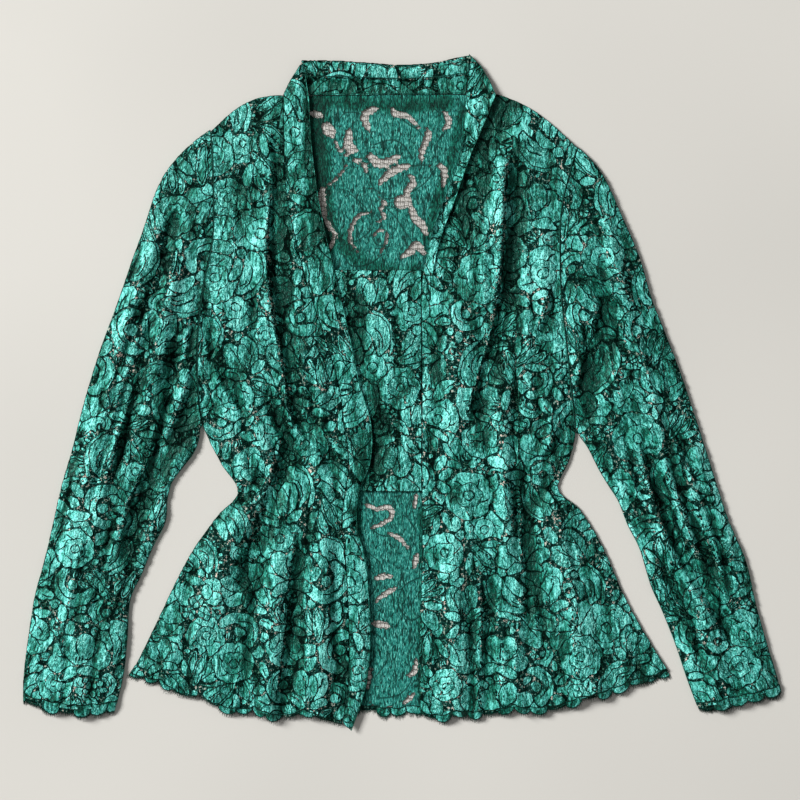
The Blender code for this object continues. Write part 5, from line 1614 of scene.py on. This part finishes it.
def scallopEdge(name, inner, hem, closed=False, seed=5):
    # a strip of scallops from the cloth's cut line to the lace's edge, its lashes and its cords
    both, run = evenLine(np.column_stack([hem, inner]), 1.0, closed)
    hemLine, innerLine = both[:, :3], both[:, 3:]
    away = outward(hemLine, innerLine, closed)
    rng = np.random.RandomState(seed)
    phase = run / border["scallop"] + 0.35 * softNoise(run / 40.0, run * 0.0, seed)
    number = np.floor(phase).astype(int)
    bare = (rng.rand(number.max() + 2) < border["bare"])[number]        # here only net lies between the lobes
    scale = rng.uniform(0.75, 1.15, number.max() + 2)[number] * np.where(bare, 0.25, 1.0)
    swell = abs(np.sin(pi * phase))
    rim = hemLine + away * (border["notch"] + border["depth"] * scale * swell**0.55)[:, None]
    rim[:, 2] = np.maximum(np.maximum(hemLine[:, 2], 0.75) * 0.85, 0.55)
    stations = np.linspace(0.0, 1.0, border["stations"])
    innerLine = innerLine + away * (1.6 * swell)[:, None]
    rows = innerLine[:, None] + (rim - innerLine)[:, None] * stations[None, :, None]
    pad = 0.45 * np.sin(pi * stations)[None, :] * swell[:, None] ** 0.5
    ribs = 0.20 * np.cos(2.0 * pi * run / 1.9)[:, None] * np.sin(pi * stations)[None, :]
    rows[..., 2] += 0.95 * (1.0 - stations)[None, :] + pad + ribs
    wide = len(stations)
    points = rows.reshape(-1, 3)
    quads = gridQuads(len(rows) + closed, wide) % (len(rows) * wide)
    finish = np.where(bare[quads[:, 0] // wide], 2, 0)
    # painted shade: darker towards the cloth and in the notches, varied at random along the edge
    shade = (0.42 + 0.25 * stations)[None, :] * (0.55 + 0.45 * swell[:, None])
    shade = shade * (0.9 + 0.3 * rng.rand(len(rows), 1))
    strip = makePiece(name + "Scallops", points, [faceUp(points, quads)], ("silk", "cord", "net", "cord"), finish,
                      extra=dict(paintedShade=shade.ravel(), tone=np.full(shade.size, 0.55)))
    thicken(strip, "edgeWall", border["wall"], 0)
    lashes = lashRow(name + "Lashes", rim, away, closed, rng)
    # cords: one round the rim, one where the scallops begin, and one down each notch
    cordLines = [(rim + np.array([0.0, 0.0, 0.1]), closed), (rows[:, 0] + np.array([0.0, 0.0, 0.2]), closed)]
    cordLines += [(rows[place] + np.array([0.0, 0.0, 0.3]), False) for place in range(1, len(run) - 1)
                  if swell[place] < swell[place - 1] and swell[place] <= swell[place + 1]]
    return strip, lashes, cordRibbons(name + "Cords", cordLines, border["cord"], border["cord"])


def cordRibbons(name, lines, half, rise, finish="cord", paintedShade=0.6):        # raised cords along lines of points
    points, quads, start = [], [], 0
    for line, closed in lines:
        ahead = np.roll(line, -1, 0) - np.roll(line, 1, 0)
        if not closed:
            ahead[0], ahead[-1] = line[1] - line[0], line[-1] - line[-2]
        ahead[:, 2] = 0.0
        ahead /= np.maximum(np.linalg.norm(ahead, axis=1), 1e-6)[:, None]
        side = np.column_stack([-ahead[:, 1], ahead[:, 0], np.zeros(len(line))])
        up = np.array([0.0, 0.0, 1.0])
        profile = ((1.0, -0.1), (0.5, rise), (-0.5, rise), (-1.0, -0.1), (0.0, -0.3))
        ring = np.stack([line + side * half * sideways + up * height for sideways, height in profile], 1)
        count = len(line)
        row, place = np.meshgrid(np.arange(count if closed else count - 1), np.arange(5), indexing="ij")
        following = (row + 1) % count
        after = (place + 1) % 5
        fours = np.stack([row * 5 + place, following * 5 + place, following * 5 + after, row * 5 + after], -1)
        points.append(ring.reshape(-1, 3))
        quads.append(fours.reshape(-1, 4) + start)
        start += count * 5
    points = np.vstack(points)
    return makePiece(name, points, [np.vstack(quads)], (finish,), extra=dict(paintedShade=np.full(len(points), paintedShade)))


across = np.linspace(0.0, 1.0, 200)
edges = {}
for sideName, panel in fronts.items():
    lines = frontGrid(panel, np.array([borderRow - 0.20, hemRow]), across)
    lines = lines[:, np.argsort(lines[0, :, 0])]
    edges[sideName + "Hem"] = scallopEdge(sideName + "Hem", lines[0], lines[1], seed=21 + len(edges))
    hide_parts("hem_lashes_" + sideName)
lines = backGrid(fronts["right"], fronts["left"], np.array([borderRow - 0.20, hemRow]), np.linspace(0.0, 1.0, 420))
edges["backHem"] = scallopEdge("backHem", lines[0], lines[1], seed=27)
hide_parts("hem_lashes_back")
for sideName, panel in sleeves.items():
    rings = sleeveGrid(panel, fronts[panel["front"]], np.array([cuffRing - 0.010, 1.0]), underShares, upperShares)
    edges[sideName + "Cuff"] = scallopEdge(sideName + "Cuff", rings[0], rings[1], closed=True, seed=31 + len(edges))
    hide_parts("cuff_lashes_" + sideName)
print("hems and cuffs are edged")

def seamCord(name, shell, lines, half=0.45, rise=0.35):        # sewn lines that lie on a cloth
    laid = []
    for line in lines:
        line = evenLine(np.array(line, float), 2.0)[0]
        laid.append((np.column_stack([line, landOn(shell["ground"], line, 0.0, shell["lift"] + 0.25)]), False))
    return cordRibbons(name, laid, half, rise, "thread")


seams = []
for sideName, panel in fronts.items():
    armhole = frontGrid(panel, np.linspace(0.15, 9.9, 60), np.array([0.004]))[:, 0, :2]
    shell = panels[sideName + "Front"]
    seams.append((sideName + "Front", seamCord(sideName + "ArmholeSeam", shell, [armhole], 0.6, 0.5)))
darts = (("rightFront", "rightBustDart", ((-199, -19), (-184, -12), (-169, -7))),
         ("leftFront", "leftBustDart", ((114, 18), (122, 10), (130, 3))))
for panelName, name, line in darts:
    seams.append((panelName, seamCord(name, panels[panelName], [line], 0.55, 0.5)))
for name, bandEdge in (("rightBand", rightBandEdge), ("leftBand", leftBandEdge)):        # the rolled free edges
    raised = bandEdge + np.array([0.0, 0.0, 0.5])
    seams.append((name, cordRibbons(name + "Roll", [(raised, False)], 0.45, 0.4, "silk", 0.30)))
collarLine = collarGrid[17, 2:-2, :2]
seams.append(("collar", seamCord("collarSeam", collar, [collarLine, collarGrid[1, 2:-2, :2] + np.array([0, 0.6])])))
loops = (((-4, -196), (0, -194), (2, -198), (3, -206), (0, -210), (-4, -208)),
         ((-27, -218), (-22, -216), (-20, -219)))
loopPieces = seamCord("threadLoops", back, loops, 0.22, 0.4)
seams.append(("back", loopPieces))
print("seams are sewn")

# Table and light
table = dict(size=6.0, colour=(0.632, 0.620, 0.592))
material, tree, shader = newFinish("paleTable", 0.85, 0.2)
geometry = wire(tree, "ShaderNodeTexCoord")
soft = wire(tree, "ShaderNodeTexNoise", {"Vector": geometry.outputs["Object"], "Scale": 2.2, "Detail": 1.0})
weave = wire(tree, "ShaderNodeTexNoise", {"Vector": geometry.outputs["Object"], "Scale": 900.0})
paleShade = tuple(part * 0.93 for part in table["colour"])
pale = ramp(tree, soft.outputs["Fac"], [(0.35, paleShade), (0.65, table["colour"])])
plug(tree, shader, pale, bump(tree, weave.outputs["Fac"], 0.15, 0.0003))
tableMesh = bpy.data.meshes.new("tableTop")
half = table["size"] / 2.0
tableMesh.from_pydata([(-half, -half, 0), (half, -half, 0), (half, half, 0), (-half, half, 0)], [], [(0, 1, 2, 3)])
tableMesh.materials.append(material)
tableTop = bpy.data.objects.new("tableTop", tableMesh)
tableTop.location.z = -0.0002
bpy.context.scene.collection.objects.link(tableTop)
tableTop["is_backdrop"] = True

lights = dict(window=dict(place=(-7.6, 3.6, 6.0), size=3.4, power=1700.0, colour=(1.0, 0.985, 0.96)),
              fill=dict(place=(1.6, -1.6, 2.2), size=2.4, power=5.0, colour=(0.93, 0.96, 1.0)))
for name, light in lights.items():
    lamp = bpy.data.lights.new(name, "AREA")
    lamp.size = light["size"]
    lamp.energy = light["power"]
    lamp.color = light["colour"]
    lampObject = bpy.data.objects.new(name, lamp)
    lampObject.location = light["place"]
    lampObject.rotation_euler = (Vector((0, 0, 0)) - Vector(light["place"])).to_track_quat("-Z", "Y").to_euler()
    bpy.context.scene.collection.objects.link(lampObject)
world = bpy.data.worlds.new("studio")
world.use_nodes = True
world.node_tree.nodes["Background"].inputs["Color"].default_value = (1.0, 0.97, 0.93, 1.0)
world.node_tree.nodes["Background"].inputs["Strength"].default_value = 0.24
bpy.context.scene.world = world

# The cloth pieces: for each, the trims sewn to it are gathered and its cloth area is printed beside its listed flat
# size
sheets = dict(
    rightFront=dict(flat=(0.22, 0.625), held="laid", slot="lace_face", rests=("back_panel",)),
    leftFront=dict(flat=(0.25, 0.62), held="laid", slot="lace_face", rests=("back_panel",)),
    centre=dict(flat=(0.112, 0.222), held="laid", slot="lace_face", rests=("back_panel",)),
    back=dict(flat=(0.54, 0.615), held="laid", slot="lace_inside", rests=()),
    collar=dict(flat=(0.17, 0.04), held="folded", slot="lace_face", rests=("back_panel",)),
    rightBand=dict(flat=(0.031, 0.68), held="laid", slot="lace_face", rests=("centre_panel",)),
    leftBand=dict(flat=(0.03, 0.235), held="folded", slot="lace_face", rests=("front_left",)),
    rightSleeve=dict(flat=(0.245, 0.60), held="laid", slot="lace_face", rests=()),
    leftSleeve=dict(flat=(0.24, 0.58), held="laid", slot="lace_face", rests=()),
)


def flatArea(shell):
    mesh = shell["piece"].data
    areas = np.empty(len(mesh.polygons))
    mesh.polygons.foreach_get("area", areas)
    return areas.sum()


edgeOf = dict(rightFront="rightHem", leftFront="leftHem", back="backHem", rightSleeve="rightCuff",
              leftSleeve="leftCuff")
for name, sheet in sheets.items():
    shell = panels[name]
    trims = [shell["lace"]] if "lace" in shell else []
    trims += [piece for owner, piece in seams if owner == name]
    if name in edgeOf:
        trims += edges[edgeOf[name]]
    area = flatArea(shell)
    print(name, "area", round(float(area), 4), "flat", round(sheet["flat"][0] * sheet["flat"][1], 4))

dict(cad=[list(map(float, corner)) for corner in cadBox],
               visual=[list(map(float, corner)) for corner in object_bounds()])
print("table and lights are set")
